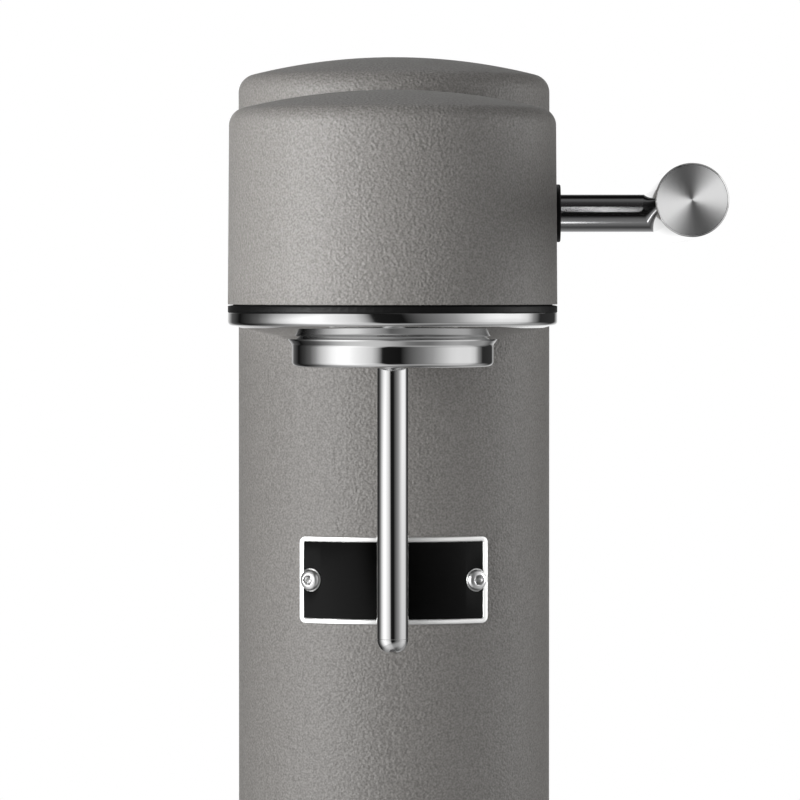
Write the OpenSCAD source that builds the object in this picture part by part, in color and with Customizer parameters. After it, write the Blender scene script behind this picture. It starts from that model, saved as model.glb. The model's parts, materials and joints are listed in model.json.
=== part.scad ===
// Countertop sparkling water maker: powder coated steel column with a domed head,
// a polished nozzle plate and bottle cup, a side lever, and the valve train inside.
// Millimetres, +Z up. The origin is on the worktop, under the bottle's axis.
// The front faces -Y and the lever is on +X.

/* [Overall] */
// Height from the worktop to the top of the column
total_h = 413; // [400:1:440]
// Half width of the head and base, and the radius of their round fronts
head_r = 51.15; // [50:0.05:56]
// How much narrower the column is than the head, on each side
head_step = 0.2; // [0.2:0.05:0.8]
// From the bottle's axis to the front of the column
bottle_gap = 51.4; // [50:0.2:58]
// Depth of the column from its front to its back
column_depth = 155.2; // [150:0.2:175]

/* [Head] */
// Height of the head from its lower edge to its crown
head_h = 66.5; // [62:0.5:72]
// Radius of the head's crown
head_crown_r = 195; // [150:5:260]
// Radius of the head's shoulder
head_shoulder_r = 6.5; // [4:0.5:9]
// Wall thickness of the head
head_wall = 1.5; // [1:0.1:2]

/* [Column] */
// How far the column's crown stands above the head's crown
cap_rise = 14; // [10:0.5:20]
// Radius of the column's crown
column_crown_r = 190; // [150:5:260]
// Radius of the column's shoulder
column_shoulder_r = 6; // [4:0.5:9]
// Wall thickness of the column
column_wall = 1.5; // [1:0.1:2]
// Width of the column's front left standing on each side of the window
window_side = 4.6; // [4.2:0.1:6]
// Height of the window behind the head
window_h = 56; // [55:0.5:57]

/* [Underside of the head] */
// Groove between the head and the gasket
gasket_groove = 0.4; // [0.3:0.05:0.8]
// Height of the gasket that shows
gasket_h = 2.1; // [1.5:0.1:3]
// Width of the gasket's flange
gasket_w = 5; // [4:0.5:8]
// Height of the trim plate's rim
trim_h = 4.4; // [3.5:0.1:6]
// Radius of the rim's lower edge
trim_edge_r = 2.2; // [1:0.1:3]
// Depth of the polished dish below the rim
dish_drop = 3; // [2:0.1:5]
// Depth of the small step between the dish and the cup
dish_lip = 0.8; // [0.5:0.1:1.5]

/* [Bottle cup] */
// Radius of the cup's lip
cup_lip_r = 32.6; // [32:0.2:36]
// Height of the cup below the dish
cup_h = 8.7; // [7:0.1:12]
// How far the lip stands out from the cup's wall
cup_lip = 1.2; // [0.8:0.1:2]
// Height of the lip's flare
cup_flare_h = 2.3; // [1.5:0.1:3]
// Radius of the cup's lower edge
cup_edge_r = 1.6; // [1:0.1:2.5]
// Radius of the mouth that takes the bottle's neck
mouth_r = 26.5; // [26:0.1:27.5]
// Radius of the bayonet bore in the collar
collar_bore_r = 22.5; // [21:0.1:23]
// Wall of the collar's top
collar_top_h = 8; // [6:0.5:9]
// How far the bayonet lugs reach inwards
lug_reach = 2; // [1:0.1:3]
// Number of bayonet lugs
lug_count = 3; // [2:1:4]
// Height of a bayonet lug
lug_h = 3; // [2:0.5:4]
// Width of a bayonet lug
lug_w = 10; // [6:0.5:12]
// Thickness of the bottle seal
seal_h = 4; // [3:0.5:5]

/* [Carbonating nozzle] */
// Outside radius of the nozzle tube
tube_r = 4.9; // [4:0.1:5.5]
// Wall of the nozzle tube
tube_wall = 0.8; // [0.6:0.05:1.2]
// Step between the tube and the threaded end that goes up through the seal
tube_step = 0.7; // [0.4:0.1:1.2]
// From the head's lower edge down to the nozzle's tip
nozzle_reach = 109; // [95:1:125]
// Radius of the outlet in the tip
jet_r = 0.7; // [0.4:0.05:1]
// Radius of the nozzle block
block_r = 13; // [11:0.5:14]
// Height of the nozzle block above the head frame
block_h = 13; // [12:0.5:14]

/* [Lever] */
// Height of the lever's shaft above the head's lower edge
shaft_rise = 28.6; // [27:0.2:30]
// How far the shaft lies behind the bottle's axis
shaft_y = 28; // [26:0.5:30]
// Radius of the lever's shaft
shaft_r = 5.9; // [5:0.1:6.5]
// Where the handle crosses the shaft, from the middle of the machine
handle_x = 90; // [82:0.2:95]
// Height of the handle's axis above the shaft's axis where they cross
handle_rise = 2.4; // [0:0.1:4]
// Length of the handle in front of the shaft
handle_front = 64; // [55:1:72]
// Length of the handle behind the shaft
handle_back = 9.5; // [8:0.5:12]
// Radius of the handle's front end
handle_front_r = 11.3; // [10:0.1:13]
// Radius of the handle's back end
handle_back_r = 11.5; // [8:0.1:12]
// Chamfer around the handle's front face
handle_chamfer = 0.6; // [0.3:0.1:1.2]
// Edge radius at the handle's back end
handle_edge_r = 1.6; // [0.8:0.1:2.5]
// Upward tilt of the handle at rest, in degrees
handle_tilt = 0.8; // [0:0.1:6]
// Outward splay of the handle, in degrees
handle_splay = 1.2; // [0:0.1:5]
// Travel of the lever, in degrees
lever_travel = 60; // [45:1:65]
// Radius of the rubber grommet around the shaft
grommet_r = 9.1; // [8.8:0.1:11]
// How far the grommet stands out of the head
grommet_proud = 1.6; // [0.8:0.1:3]
// Radius of the hole for the grommet
grommet_hole_r = 7.9; // [7.5:0.1:8.2]
// Radius of the shaft bushes
bush_r = 8; // [7.5:0.1:9]
// Lift of the cam over the shaft's centre at rest
cam_rest = 8.5; // [8:0.1:10]
// Width of the cam
cam_w = 10; // [8:0.5:12]
// Wire radius of the return spring
wire_r = 0.8; // [0.6:0.05:1]
// Turns of the return spring
spring_turns = 7; // [5:1:9]

/* [Valve train] */
// How far the gas cylinder lies behind the bottle's axis
cylinder_y = 140; // [137:1:143]
// Travel of the valve pin
pin_travel = 2; // [1.5:0.1:2.5]
// From the rocker's pivot back to the valve pin
rocker_back = 36; // [33:0.5:38]
// Height of the rocker's pivot above the head's lower edge
pivot_rise = 47.5; // [46:0.5:49]
// Radius of the rocker's pivot pin
pivot_r = 3; // [2.5:0.1:3.5]
// Width of the rocker
rocker_w = 9; // [7:0.5:10]
// Depth of the rocker's arm
rocker_d = 8; // [6:0.5:9]
// Radius of the rocker's nose
nose_r = 5; // [4:0.5:6]
// Width of the valve block
valve_w = 38; // [34:1:42]
// Depth of the valve block
valve_d = 36; // [32:1:40]
// Height of the valve block
valve_h = 37; // [36:0.5:38]
// Radius of the threaded seat for the gas cylinder
seat_r = 10.45; // [10:0.05:11]
// Depth of the threaded seat
seat_h = 16; // [14:0.5:18]
// Radius of the valve pin
plunger_r = 3; // [2.5:0.1:3.5]
// Outside radius of the gas hose
hose_r = 3.5; // [3:0.1:4]
// Bore radius of the gas hose
hose_bore_r = 2.5; // [1.8:0.1:2.7]

/* [Gas cylinder] */
// Radius of the gas cylinder
cylinder_r = 30; // [28:0.5:31]
// Wall of the gas cylinder
cylinder_wall = 3; // [2:0.2:4]
// Height of the gas cylinder's foot above the worktop
cylinder_lift = 6; // [5:0.5:10]
// Radius of the cylinder's neck
neck_r = 13; // [12:0.5:14]
// Height of the cylinder's shoulder
cylinder_dome = 24; // [18:1:30]

/* [Frames] */
// Thickness of the head frame's plate
frame_t = 3; // [2.5:0.1:3.5]
// Height of the head frame above the head's lower edge
frame_rise = 1.5; // [1.2:0.1:2]
// Gap on each side of the head frame where it passes through the window
frame_gap = 2; // [1.5:0.1:4]
// Half width of the spine
spine_w = 18; // [14:0.5:19]
// Thickness of the spine
spine_t = 2.5; // [2:0.1:3]
// Depth of the spine's side flanges
spine_flange = 14; // [10:0.5:18]

/* [Base] */
// Height of the base's top above the worktop
base_h = 22; // [20:0.5:26]
// Thickness of the rubber sole
sole_h = 2; // [1.5:0.1:3]
// Wall of the base
base_wall = 1.8; // [1.5:0.1:2.5]
// Edge radius of the base's top
base_edge_r = 1.5; // [0.8:0.1:2]
// Thickness of the base pan
pan_t = 1.5; // [1:0.1:2]
// Radius of the recess for the drip tray
recess_r = 46.2; // [44:0.2:47]
// Depth of the recess for the drip tray
recess_h = 14; // [10:0.5:15]
// Wall of the drip tray
tray_wall = 0.9; // [0.7:0.05:1.2]
// How far the drip tray's rim laps over the base
tray_lap = 1.6; // [1:0.1:2]
// Radius of the opening for the gas cylinder
hatch_r = 34; // [33:0.5:36]

/* [Badge] */
// Width of the badge plate
badge_w = 60.6; // [50:0.2:66]
// Height of the badge plate
badge_h = 28; // [22:0.5:34]
// Corner radius of the badge plate
badge_corner = 2; // [1:0.1:4]
// Thickness of the badge plate
badge_t = 1.2; // [1:0.1:2]
// Width of the bright border
badge_border = 1.6; // [1:0.1:3]
// Width of the bright land around each screw's head
badge_land = 1.1; // [0.8:0.1:1.6]
// Depth of the recessed field
badge_recess = 0.5; // [0.4:0.05:0.6]
// Thickness of the dark inlay
inlay_t = 0.3; // [0.2:0.05:0.35]
// From the head's lower edge down to the badge's centre
badge_drop = 88.6; // [80:0.2:100]
// Distance between the two badge screws
badge_screw_gap = 53.2; // [46:0.2:54]
// Radius of a badge screw's head
badge_head_r = 3.4; // [2.6:0.1:3.8]
// Radius of a badge screw's shank
badge_shank_r = 1.5; // [1:0.1:2]

/* [Fits] */
// Play between fixed pieces that slip together
slip = 0.1; // [0.05:0.05:0.2]
// Play between a shaft and its bearing
run_fit = 0.05; // [0.02:0.01:0.08]
// Gap between pieces that move past each other
move_gap = 0.3; // [0.3:0.05:0.5]
// Radius of the frame screws
screw_r = 1.5; // [1:0.1:1.8]

/* [Hidden] */
$fn = 96;
// How far every cut runs past the face that it opens
over = head_wall;
// Steps along a crown, a shoulder and the edge of a plate
crown_steps = 14;
shoulder_steps = 10;
edge_steps = 6;

// Places of the main forms
column_r = head_r - head_step;
column_y = bottle_gap + column_r;
column_back_y = bottle_gap + column_depth - column_r;
window_w = column_r - window_side;
frame_w = window_w - frame_gap;
base_back_y = bottle_gap + column_depth + head_step - head_r;
head_edge = total_h - cap_rise - head_h;
head_top = head_edge + head_h;
frame_z = head_edge + frame_rise;
frame_top = frame_z + frame_t;
gasket_top = head_edge - gasket_groove;
trim_top = gasket_top - gasket_h;
trim_bottom = trim_top - trim_h;
dish_bottom = trim_bottom - dish_drop;
lip_z = dish_bottom - dish_lip;
cup_bottom = lip_z - cup_h;
cope_r = column_r + slip;
head_end_y = column_y - gasket_w;

// Places of the nozzle and cup
cup_wall_r = cup_lip_r - cup_lip;
cup_top = trim_top - head_wall;
cup_neck_r = cup_lip_r - 2 * cup_lip;
collar_r = mouth_r - 2 * slip;
collar_z = cup_bottom + head_wall / 2;
collar_web_z = frame_z - collar_top_h;
tip_z = head_edge - nozzle_reach;
tip_h = tube_r;
tube_top = frame_top + block_h / 2;
spigot_r = tube_r - tube_step;
seal_z = collar_web_z - seal_h;

// Places of the lever and its cam
shaft_z = head_edge + shaft_rise;
pivot_z = head_edge + pivot_rise;
pivot_y = cylinder_y - rocker_back;
rocker_tip = asin(pin_travel / rocker_back);
cam_turn = lever_travel + rocker_tip;
cam_rise = (pivot_y - shaft_y) * sin(rocker_tip)
    - (pivot_z - shaft_z) * (1 - cos(rocker_tip));
cam_rate = cam_rise / (cam_turn * PI / 180);
cam_base_r = cam_rest - move_gap;
follower_z = shaft_z + cam_rest + move_gap;
ear_t = frame_t;
ear_outer_x = frame_w - ear_t - spine_t / 5;
ear_inner_x = -(cam_w * 2 + ear_t / 3);
spring_r = shaft_r + 2 * wire_r + move_gap;
grommet_bore_r = shaft_r + move_gap;
handle_socket = handle_x + shaft_r / 4;

// Places of the valve train
valve_top = frame_top + valve_h;
seat_z = frame_top + valve_h / 3;
seat_top = seat_z + seat_h;
seal_t = frame_t / 3;
stem_top = seat_top - seal_t;
nose_z = pivot_z + rocker_d - nose_r / 2;
plunger_top = nose_z - nose_r - move_gap;
plunger_head_h = pin_travel + seal_t;
plunger_head_r = plunger_r + pin_travel;
stem_z = stem_top + pin_travel;
rocker_ear_t = ear_t;
rocker_ear_x = rocker_w / 2 + move_gap;
pin_half = rocker_ear_x + rocker_ear_t + plunger_r / 2;
neck_hole_r = neck_r + ear_t;
neck_clear_r = neck_r + ear_t / 2;

// Places of the gas cylinder
shoulder_z = frame_z - cylinder_dome - 2 * ear_t;
neck_top = frame_z - ear_t;
neck_bore_r = neck_r * 0.7;
foot_edge_r = cylinder_dome / 3;

// Places of the base
pan_top = sole_h + pan_t;
recess_z = base_h - recess_h;
tray_rim_z = base_h + move_gap;
tray_r = recess_r - move_gap;
boss_r = 3 * screw_r;
boss_share = 0.78;
front_boss_y_share = 0.66;
rear_boss_shares = [0.62, 0.56];
base_bosses = [
    for (side = [-1, 1]) [side * head_r * boss_share, column_y * front_boss_y_share],
    for (side = [-1, 1])
        [side * head_r * rear_boss_shares.x, base_back_y + head_r * rear_boss_shares.y]
];

// Places of the badge
badge_z = head_edge - badge_drop;
badge_in_r = column_r + slip;
badge_out_r = badge_in_r + badge_t;
badge_screw_a = asin(badge_screw_gap / 2 / badge_out_r);
lobe_r = badge_head_r + badge_land;
field_corner = badge_corner / 4;

// Places of the frame screws
trim_screw_share = 0.68;
trim_screws_at = [
    for (side = [-1, 1]) [side * head_r * trim_screw_share, -shaft_y * trim_screw_share],
    for (side = [-1, 1]) [side * head_r * trim_screw_share, shaft_y]
];
spine_y = column_y - sqrt(pow(column_r - column_wall, 2) - pow(spine_w, 2)) + spine_t / 2;
spine_tab = spine_flange;
spine_screw_share = 0.6;
valve_screw_share = 0.78;

// The route of the gas hose: its two ends, and how straight it leaves them
hose_out_x = -valve_w * 0.36;
hose_out_z = frame_top + valve_h * 0.3;
hose_in_z = frame_top + block_h * 0.65;
barb_l = 2 * hose_bore_r;
barb_r = hose_bore_r - 2 * slip;
nut_r = hose_r * 1.3;
nut_l = block_r / 2;
hose_start = [0, block_r + nut_l, hose_in_z];
hose_end = [hose_out_x, cylinder_y - valve_d / 2 - nut_l, hose_out_z];
hose_lead = (hose_end.y - hose_start.y) * 0.42;
hose_steps = 26;
hose_sides = 12;
wire_sides = 6;
wire_steps = 10;

// Points of an arc about c, from angle a to angle b
function arc(c, r, a, b, steps) =
    [for (i = [0:steps]) let (t = a + (b - a) * i / steps) c + r * [cos(t), sin(t)]];

function reversed(pts) = [for (i = [len(pts) - 1:-1:0]) pts[i]];

function tail(pts) = [for (i = [1:len(pts) - 1]) pts[i]];

function mirrored(pts) = [for (p = reversed(pts)) [-p.x, p.y]];

// Right half of a domed outline, from the foot of the wall up to the crown's middle
function domed_half(w, z0, top, crown_r, edge_r) =
    let (
        crown_z = top - crown_r,
        edge_x = w - edge_r,
        edge_z = crown_z + sqrt(pow(crown_r - edge_r, 2) - pow(edge_x, 2)),
        meet = atan2(edge_z - crown_z, edge_x)
    )
    concat(
        [[w, z0]],
        arc([edge_x, edge_z], edge_r, 0, meet, shoulder_steps),
        tail(arc([0, crown_z], crown_r, meet, 90, crown_steps))
    );

// Right half of a flat outline with a rounded upper edge
function slab_half(w, z0, z1, edge_r) =
    concat([[w, z0]], arc([w - edge_r, z1 - edge_r], edge_r, 0, 90, edge_steps), [[0, z1]]);

// Extrudes an outline drawn in x and z from y0 back to y1
module run(y0, y1) {
    translate([0, y1, 0])
        rotate([90, 0, 0])
            linear_extrude(y1 - y0)
                children();
}

// Extrudes an outline drawn in y and z from x0 to x1
module across(x0, x1) {
    translate([x0, 0, 0])
        rotate([90, 0, 90])
            linear_extrude(x1 - x0)
                children();
}

// A body with a round front at y0, straight sides to y1, and a round back if asked
module stadium_body(half, low, y0, y1, round_back) {
    pts = concat([[0, low]], half);
    translate([0, y0, 0])
        rotate([0, 0, 180])
            rotate_extrude(angle = 180)
                polygon(pts);
    run(y0, y1)
        polygon(concat(half, tail(mirrored(half))));
    if (round_back)
        translate([0, y1, 0])
            rotate_extrude(angle = 180)
                polygon(pts);
}

// The same plan with plain square edges
module stadium_plate(r, y0, y1, z0, z1, round_back) {
    stadium_body([[r, z0], [r, z1], [0, z1]], z0, y0, y1, round_back);
}

// The column's outer surface as a cutter for what laps against it
module column_cutter(z0, z1) {
    translate([0, column_y, z0])
        cylinder(r = cope_r, h = z1 - z0);
    translate([-cope_r, column_y, z0])
        cube([2 * cope_r, column_r, z1 - z0]);
}

// A round bar along X
module bar_x(r, x0, x1, y, z) {
    translate([x0, y, z])
        rotate([0, 90, 0])
            cylinder(r = r, h = x1 - x0);
}

// A round bar along Y
module bar_y(r, y0, y1, x, z) {
    translate([x, y1, z])
        rotate([90, 0, 0])
            cylinder(r = r, h = y1 - y0);
}

// A round bar along Z
module bar_z(r, z0, z1, x, y) {
    translate([x, y, z0])
        cylinder(r = r, h = z1 - z0);
}

// A hexagonal bar along Z with a given half width across its corners
module hex_z(r, z0, z1, x, y) {
    translate([x, y, z0])
        cylinder(r = r, h = z1 - z0, $fn = 6);
}

// Column: a domed steel enclosure, open below and towards the head
module column_shell() {
    outer = domed_half(column_r, base_h, total_h, column_crown_r, column_shoulder_r);
    inner = domed_half(column_r - column_wall, base_h - over, total_h - column_wall,
        column_crown_r - column_wall, column_shoulder_r - column_wall);
    color([0.47, 0.455, 0.44])
    difference() {
        stadium_body(outer, base_h, column_y, column_back_y, true);
        stadium_body(inner, base_h - over, column_y, column_back_y, true);
        translate([-window_w, bottle_gap - over, head_edge + over / 2])
            cube([2 * window_w, column_r + over, window_h]);
        for (side = [-1, 1])
            translate([0, column_y, badge_z])
                rotate([90, 0, side * badge_screw_a])
                    cylinder(r = badge_shank_r + slip, h = badge_out_r + over);
    }
}

// Head: a domed steel shell with a round front, coped to the column behind
module head_shell() {
    outer = domed_half(head_r, head_edge, head_top, head_crown_r, head_shoulder_r);
    inner = domed_half(head_r - head_wall, head_edge - over, head_top - head_wall,
        head_crown_r - head_wall, head_shoulder_r - head_wall);
    color([0.49, 0.475, 0.46])
    difference() {
        stadium_body(outer, head_edge, 0, head_end_y, false);
        stadium_body(inner, head_edge - over, 0, head_end_y + over, false);
        column_cutter(head_edge - over, head_top + over);
        bar_x(grommet_hole_r, head_r - 2 * head_wall, head_r + over, shaft_y, shaft_z);
    }
}

// Black gasket: a flange flush with the head and a lip that stands up inside it
module head_gasket() {
    lip_r = head_r - head_wall - slip;
    color([0.05, 0.05, 0.05])
    difference() {
        union() {
            stadium_plate(head_r, 0, head_end_y, trim_top, gasket_top, false);
            stadium_plate(lip_r, 0, head_end_y, gasket_top, frame_z, false);
        }
        stadium_plate(head_r - gasket_w, 0, column_y, trim_top - over, frame_z + over, false);
        column_cutter(trim_top - over, frame_z + over);
    }
}

// Polished trim plate: a rounded rim, a shallow dish turned below it, and bosses above
module trim_plate() {
    dish_r = head_r - trim_edge_r - head_wall / 2;
    color([0.8, 0.8, 0.8])
    difference() {
        union() {
            translate([0, 0, trim_top])
                mirror([0, 0, 1])
                    stadium_body(slab_half(head_r, 0, trim_h, trim_edge_r), 0, 0,
                        head_end_y, false);
            rotate_extrude()
                polygon([
                    [0, trim_bottom + trim_edge_r],
                    [dish_r, trim_bottom + trim_edge_r],
                    [dish_r, trim_bottom],
                    [dish_r - dish_lip, trim_bottom - dish_lip / 2],
                    [cup_lip_r + dish_drop, dish_bottom],
                    [cup_lip_r + dish_lip, lip_z],
                    [0, lip_z]
                ]);
            for (p = trim_screws_at)
                bar_z(boss_r, trim_bottom + trim_edge_r, frame_z, p.x, p.y);
        }
        column_cutter(dish_bottom - over, trim_top + over);
        bar_z(cup_neck_r + slip, lip_z - over, trim_top + over, 0, 0);
        for (p = trim_screws_at)
            bar_z(screw_r, trim_top - trim_h / 2, frame_z + over, p.x, p.y);
    }
}

// Polished cup: a flared lip under the dish, a plain wall, and a neck up into the plate
module bottle_cup() {
    color([0.82, 0.82, 0.82])
    rotate_extrude()
        polygon(concat(
            [
                [mouth_r, cup_bottom],
            ],
            arc([cup_wall_r - cup_edge_r, cup_bottom + cup_edge_r], cup_edge_r, -90, 0, edge_steps),
            [
                [cup_wall_r, lip_z - cup_flare_h],
                [cup_wall_r + cup_lip / 3, lip_z - cup_flare_h / 2],
                [cup_lip_r, lip_z - cup_lip / 3],
                [cup_lip_r, lip_z],
                [cup_neck_r, lip_z],
                [cup_neck_r, cup_top],
                [mouth_r, cup_top]
            ]
        ));
}

// Black collar: a bayonet bore with lugs, hung from the head frame
module bottle_collar() {
    color([0.08, 0.08, 0.08])
    difference() {
        bar_z(collar_r, collar_z, frame_z, 0, 0);
        difference() {
            bar_z(collar_bore_r, collar_z - over, collar_web_z, 0, 0);
            for (i = [0:lug_count - 1])
                rotate([0, 0, 90 + i * 360 / lug_count])
                    translate([collar_bore_r - lug_reach, -lug_w / 2, collar_z - over])
                        cube([collar_r, lug_w, lug_h + over]);
        }
        bar_z(block_r + slip, collar_web_z - over, frame_z + over, 0, 0);
    }
}

// Soft ring that seals the bottle's mouth around the nozzle
module bottle_seal() {
    color([0.16, 0.16, 0.17])
    difference() {
        bar_z(collar_bore_r - slip, seal_z, collar_web_z, 0, 0);
        bar_z(spigot_r + slip, seal_z - over, collar_web_z + over, 0, 0);
        difference() {
            bar_z(collar_bore_r - seal_h, seal_z - over, seal_z + seal_h / 4, 0, 0);
            bar_z(tube_r + seal_h / 2, seal_z - 2 * over, seal_z + seal_h, 0, 0);
        }
    }
}

// Nozzle block: carries the tube and the hose's inlet, flanged on the head frame
module nozzle_block() {
    color([0.2, 0.2, 0.21])
    difference() {
        union() {
            bar_z(block_r, collar_web_z, frame_top, 0, 0);
            bar_z(block_r + 2 * frame_t, frame_top, frame_top + frame_t, 0, 0);
            bar_z(block_r, frame_top + frame_t, frame_top + block_h, 0, 0);
        }
        bar_z(spigot_r + slip / 2, collar_web_z - over, tube_top, 0, 0);
        bar_z(hose_bore_r, tube_top - over, hose_in_z, 0, 0);
        bar_y(hose_bore_r / 2, 0, block_r, 0, hose_in_z);
        bar_y(hose_bore_r, block_r / 2, block_r + over, 0, hose_in_z);
    }
}

// Polished steel tube that carries the gas down into the bottle
module nozzle_tube() {
    color([0.78, 0.78, 0.79])
    difference() {
        union() {
            bar_z(tube_r, tip_z + tip_h, seal_z, 0, 0);
            bar_z(spigot_r, seal_z - tube_step, tube_top - slip, 0, 0);
        }
        bar_z(tube_r - tube_wall, tip_z + tip_h - over, seal_z - tube_wall, 0, 0);
        bar_z(spigot_r - tube_wall, seal_z - 2 * tube_wall, tube_top + over, 0, 0);
    }
}

// Round tip with a small outlet, plugged into the tube
module nozzle_tip() {
    plug_r = tube_r - tube_wall - slip;
    color([0.85, 0.85, 0.85])
    difference() {
        union() {
            translate([0, 0, tip_z + tip_h])
                intersection() {
                    sphere(r = tip_h);
                    translate([-tube_r, -tube_r, -tip_h])
                        cube([2 * tube_r, 2 * tube_r, tip_h]);
                }
            bar_z(plug_r, tip_z + tip_h, tip_z + 2 * tip_h, 0, 0);
        }
        bar_z(jet_r, tip_z - over, tip_z + 2 * tip_h + over, 0, 0);
        bar_z(plug_r - tube_wall, tip_z + tip_h, tip_z + 2 * tip_h + over, 0, 0);
    }
}

// One ear of the head frame that holds a shaft bush
module shaft_ear(x0) {
    across(x0, x0 + ear_t)
        difference() {
            union() {
                translate([shaft_y - bush_r - ear_t / 2, frame_top])
                    square([2 * bush_r + ear_t, shaft_z - frame_top]);
                translate([shaft_y, shaft_z])
                    circle(r = bush_r + ear_t);
            }
            translate([shaft_y, shaft_z])
                circle(r = bush_r + slip / 2);
        }
}

// One ear of the head frame that holds the rocker's pin
module rocker_ear(x0) {
    foot = rocker_d + ear_t;
    across(x0, x0 + rocker_ear_t)
        difference() {
            union() {
                polygon([
                    [pivot_y - foot, frame_top],
                    [pivot_y + foot, frame_top],
                    [pivot_y + rocker_d / 2, pivot_z],
                    [pivot_y - rocker_d / 2, pivot_z]
                ]);
                translate([pivot_y, pivot_z])
                    circle(r = rocker_d * 3 / 4);
            }
            translate([pivot_y, pivot_z])
                circle(r = pivot_r + slip / 2);
        }
}

// Head frame: a steel plate through the window, with ears for the shaft and the rocker
module head_frame() {
    frame_back = cylinder_y + valve_d / 2 + frame_w / 3;
    color([0.62, 0.63, 0.65])
    difference() {
        union() {
            bar_z(head_r - head_wall - slip, frame_z, frame_top, 0, 0);
            translate([-frame_w, 0, frame_z])
                cube([2 * frame_w, frame_back, frame_t]);
            shaft_ear(ear_outer_x);
            shaft_ear(ear_inner_x);
            rocker_ear(rocker_ear_x);
            rocker_ear(-rocker_ear_x - rocker_ear_t);
        }
        bar_z(block_r + slip, frame_z - over, frame_top + over, 0, 0);
        bar_z(neck_hole_r, frame_z - over, frame_top + over, 0, cylinder_y);
        for (p = trim_screws_at)
            bar_z(screw_r + slip, frame_z - over, frame_top + over, p.x, p.y);
        for (side = [-1, 1])
            bar_z(screw_r + slip, frame_z - over, frame_top + over,
                side * spine_w * spine_screw_share, spine_y + spine_tab * spine_screw_share);
        for (a = [45:90:315])
            bar_z(screw_r + slip, frame_z - over, frame_top + over,
                valve_w / 2 * valve_screw_share * sign(cos(a)),
                cylinder_y + valve_d / 2 * valve_screw_share * sign(sin(a)));
    }
}

// Spine: a folded channel that stands on the base and carries the head frame
module spine_frame() {
    color([0.6, 0.61, 0.63])
    difference() {
        union() {
            translate([-spine_w, spine_y, base_h])
                cube([2 * spine_w, spine_t, frame_z - base_h]);
            for (side = [0, 1])
                mirror([side, 0, 0])
                    translate([spine_w - spine_t, spine_y, base_h])
                        cube([spine_t, spine_flange, frame_z - base_h]);
            for (z = [base_h, frame_z - spine_t])
                translate([-spine_w, spine_y, z])
                    cube([2 * spine_w, spine_tab, spine_t]);
        }
        for (side = [-1, 1])
            for (z = [base_h, frame_z - spine_t])
                bar_z(screw_r, z - over, z + spine_t + over,
                    side * spine_w * spine_screw_share, spine_y + spine_tab * spine_screw_share);
    }
}

// Rubber grommet: a proud washer on the head's side with a neck through the wall
module shaft_grommet() {
    color([0.04, 0.04, 0.04])
    difference() {
        union() {
            bar_x(grommet_r, head_r, head_r + grommet_proud, shaft_y, shaft_z);
            bar_x(grommet_hole_r - slip / 2, head_r - head_wall, head_r, shaft_y, shaft_z);
            bar_x(grommet_r, head_r - 2 * head_wall, head_r - head_wall, shaft_y, shaft_z);
        }
        bar_x(grommet_bore_r, head_r - 2 * head_wall - over, head_r + grommet_proud + over,
            shaft_y, shaft_z);
    }
}

// A flanged bush for the shaft in one ear of the head frame
module shaft_bush(x0, flange_side) {
    flange_x = flange_side > 0 ? x0 + ear_t : x0 - ear_t / 2;
    difference() {
        union() {
            bar_x(bush_r, x0, x0 + ear_t, shaft_y, shaft_z);
            bar_x(bush_r + ear_t / 2, flange_x, flange_x + ear_t / 2, shaft_y, shaft_z);
        }
        bar_x(shaft_r + run_fit, x0 - ear_t, x0 + 2 * ear_t, shaft_y, shaft_z);
    }
}

module bush_outer() {
    color([0.72, 0.55, 0.25])
        shaft_bush(ear_outer_x, 1);
}

module bush_inner() {
    color([0.72, 0.55, 0.25])
        shaft_bush(ear_inner_x, -1);
}

// Lever shaft: one steel bar from the inner bush out into the handle
module lever_shaft() {
    inner_end = ear_inner_x - ear_t;
    color([0.35, 0.35, 0.36])
    difference() {
        bar_x(shaft_r, inner_end, handle_x, shaft_y, shaft_z);
        bar_z(screw_r + slip / 2, shaft_z - 2 * shaft_r, shaft_z + 2 * shaft_r, 0, shaft_y);
    }
}

// Handle: a tapered polished bar with a flat turned face, bored across for the shaft
module lever_handle() {
    color([0.85, 0.85, 0.85])
    difference() {
        translate([handle_x, shaft_y, shaft_z + handle_rise])
            rotate([90 - handle_tilt, 0, handle_splay])
                rotate_extrude()
                    polygon(concat(
                        [[0, -handle_back]],
                        arc([handle_back_r - handle_edge_r, handle_edge_r - handle_back],
                            handle_edge_r, -90, 0, edge_steps),
                        [
                            [handle_front_r, handle_front - handle_chamfer],
                            [handle_front_r - handle_chamfer, handle_front],
                            [0, handle_front]
                        ]
                    ));
        bar_x(shaft_r + slip / 2, handle_x - 2 * handle_front_r, handle_socket, shaft_y, shaft_z);
    }
}

// Point of the cam's face whose outward normal is turned a degrees back from upright
function cam_point(a) =
    let (h = cam_rest + cam_rate * a * PI / 180)
    h * [sin(a), cos(a)] + cam_rate * [cos(a), -sin(a)];

// Cam: its face lifts at a steady rate as the lever turns
module lever_cam() {
    face = [for (i = [0:crown_steps]) cam_point(cam_turn * i / crown_steps)];
    heel_a = cam_turn + 45;
    color([0.55, 0.55, 0.57])
    difference() {
        union() {
            bar_x(cam_base_r, -cam_w / 2, cam_w / 2, shaft_y, shaft_z);
            across(-cam_w / 2, cam_w / 2)
                translate([shaft_y, shaft_z])
                    polygon(concat(
                        [[0, 0], [0, cam_base_r]],
                        face,
                        [cam_base_r * [sin(heel_a), cos(heel_a)]]
                    ));
        }
        bar_x(shaft_r + slip / 2, -cam_w, cam_w, shaft_y, shaft_z);
        bar_z(screw_r + slip / 2, shaft_z - 2 * cam_base_r, shaft_z + 2 * cam_base_r, 0, shaft_y);
    }
}

// Roll pin that keys the cam to the shaft
module cam_pin() {
    color([0.5, 0.5, 0.52])
        bar_z(screw_r, shaft_z - cam_base_r + slip, shaft_z + cam_base_r - move_gap, 0, shaft_y);
}

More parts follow.
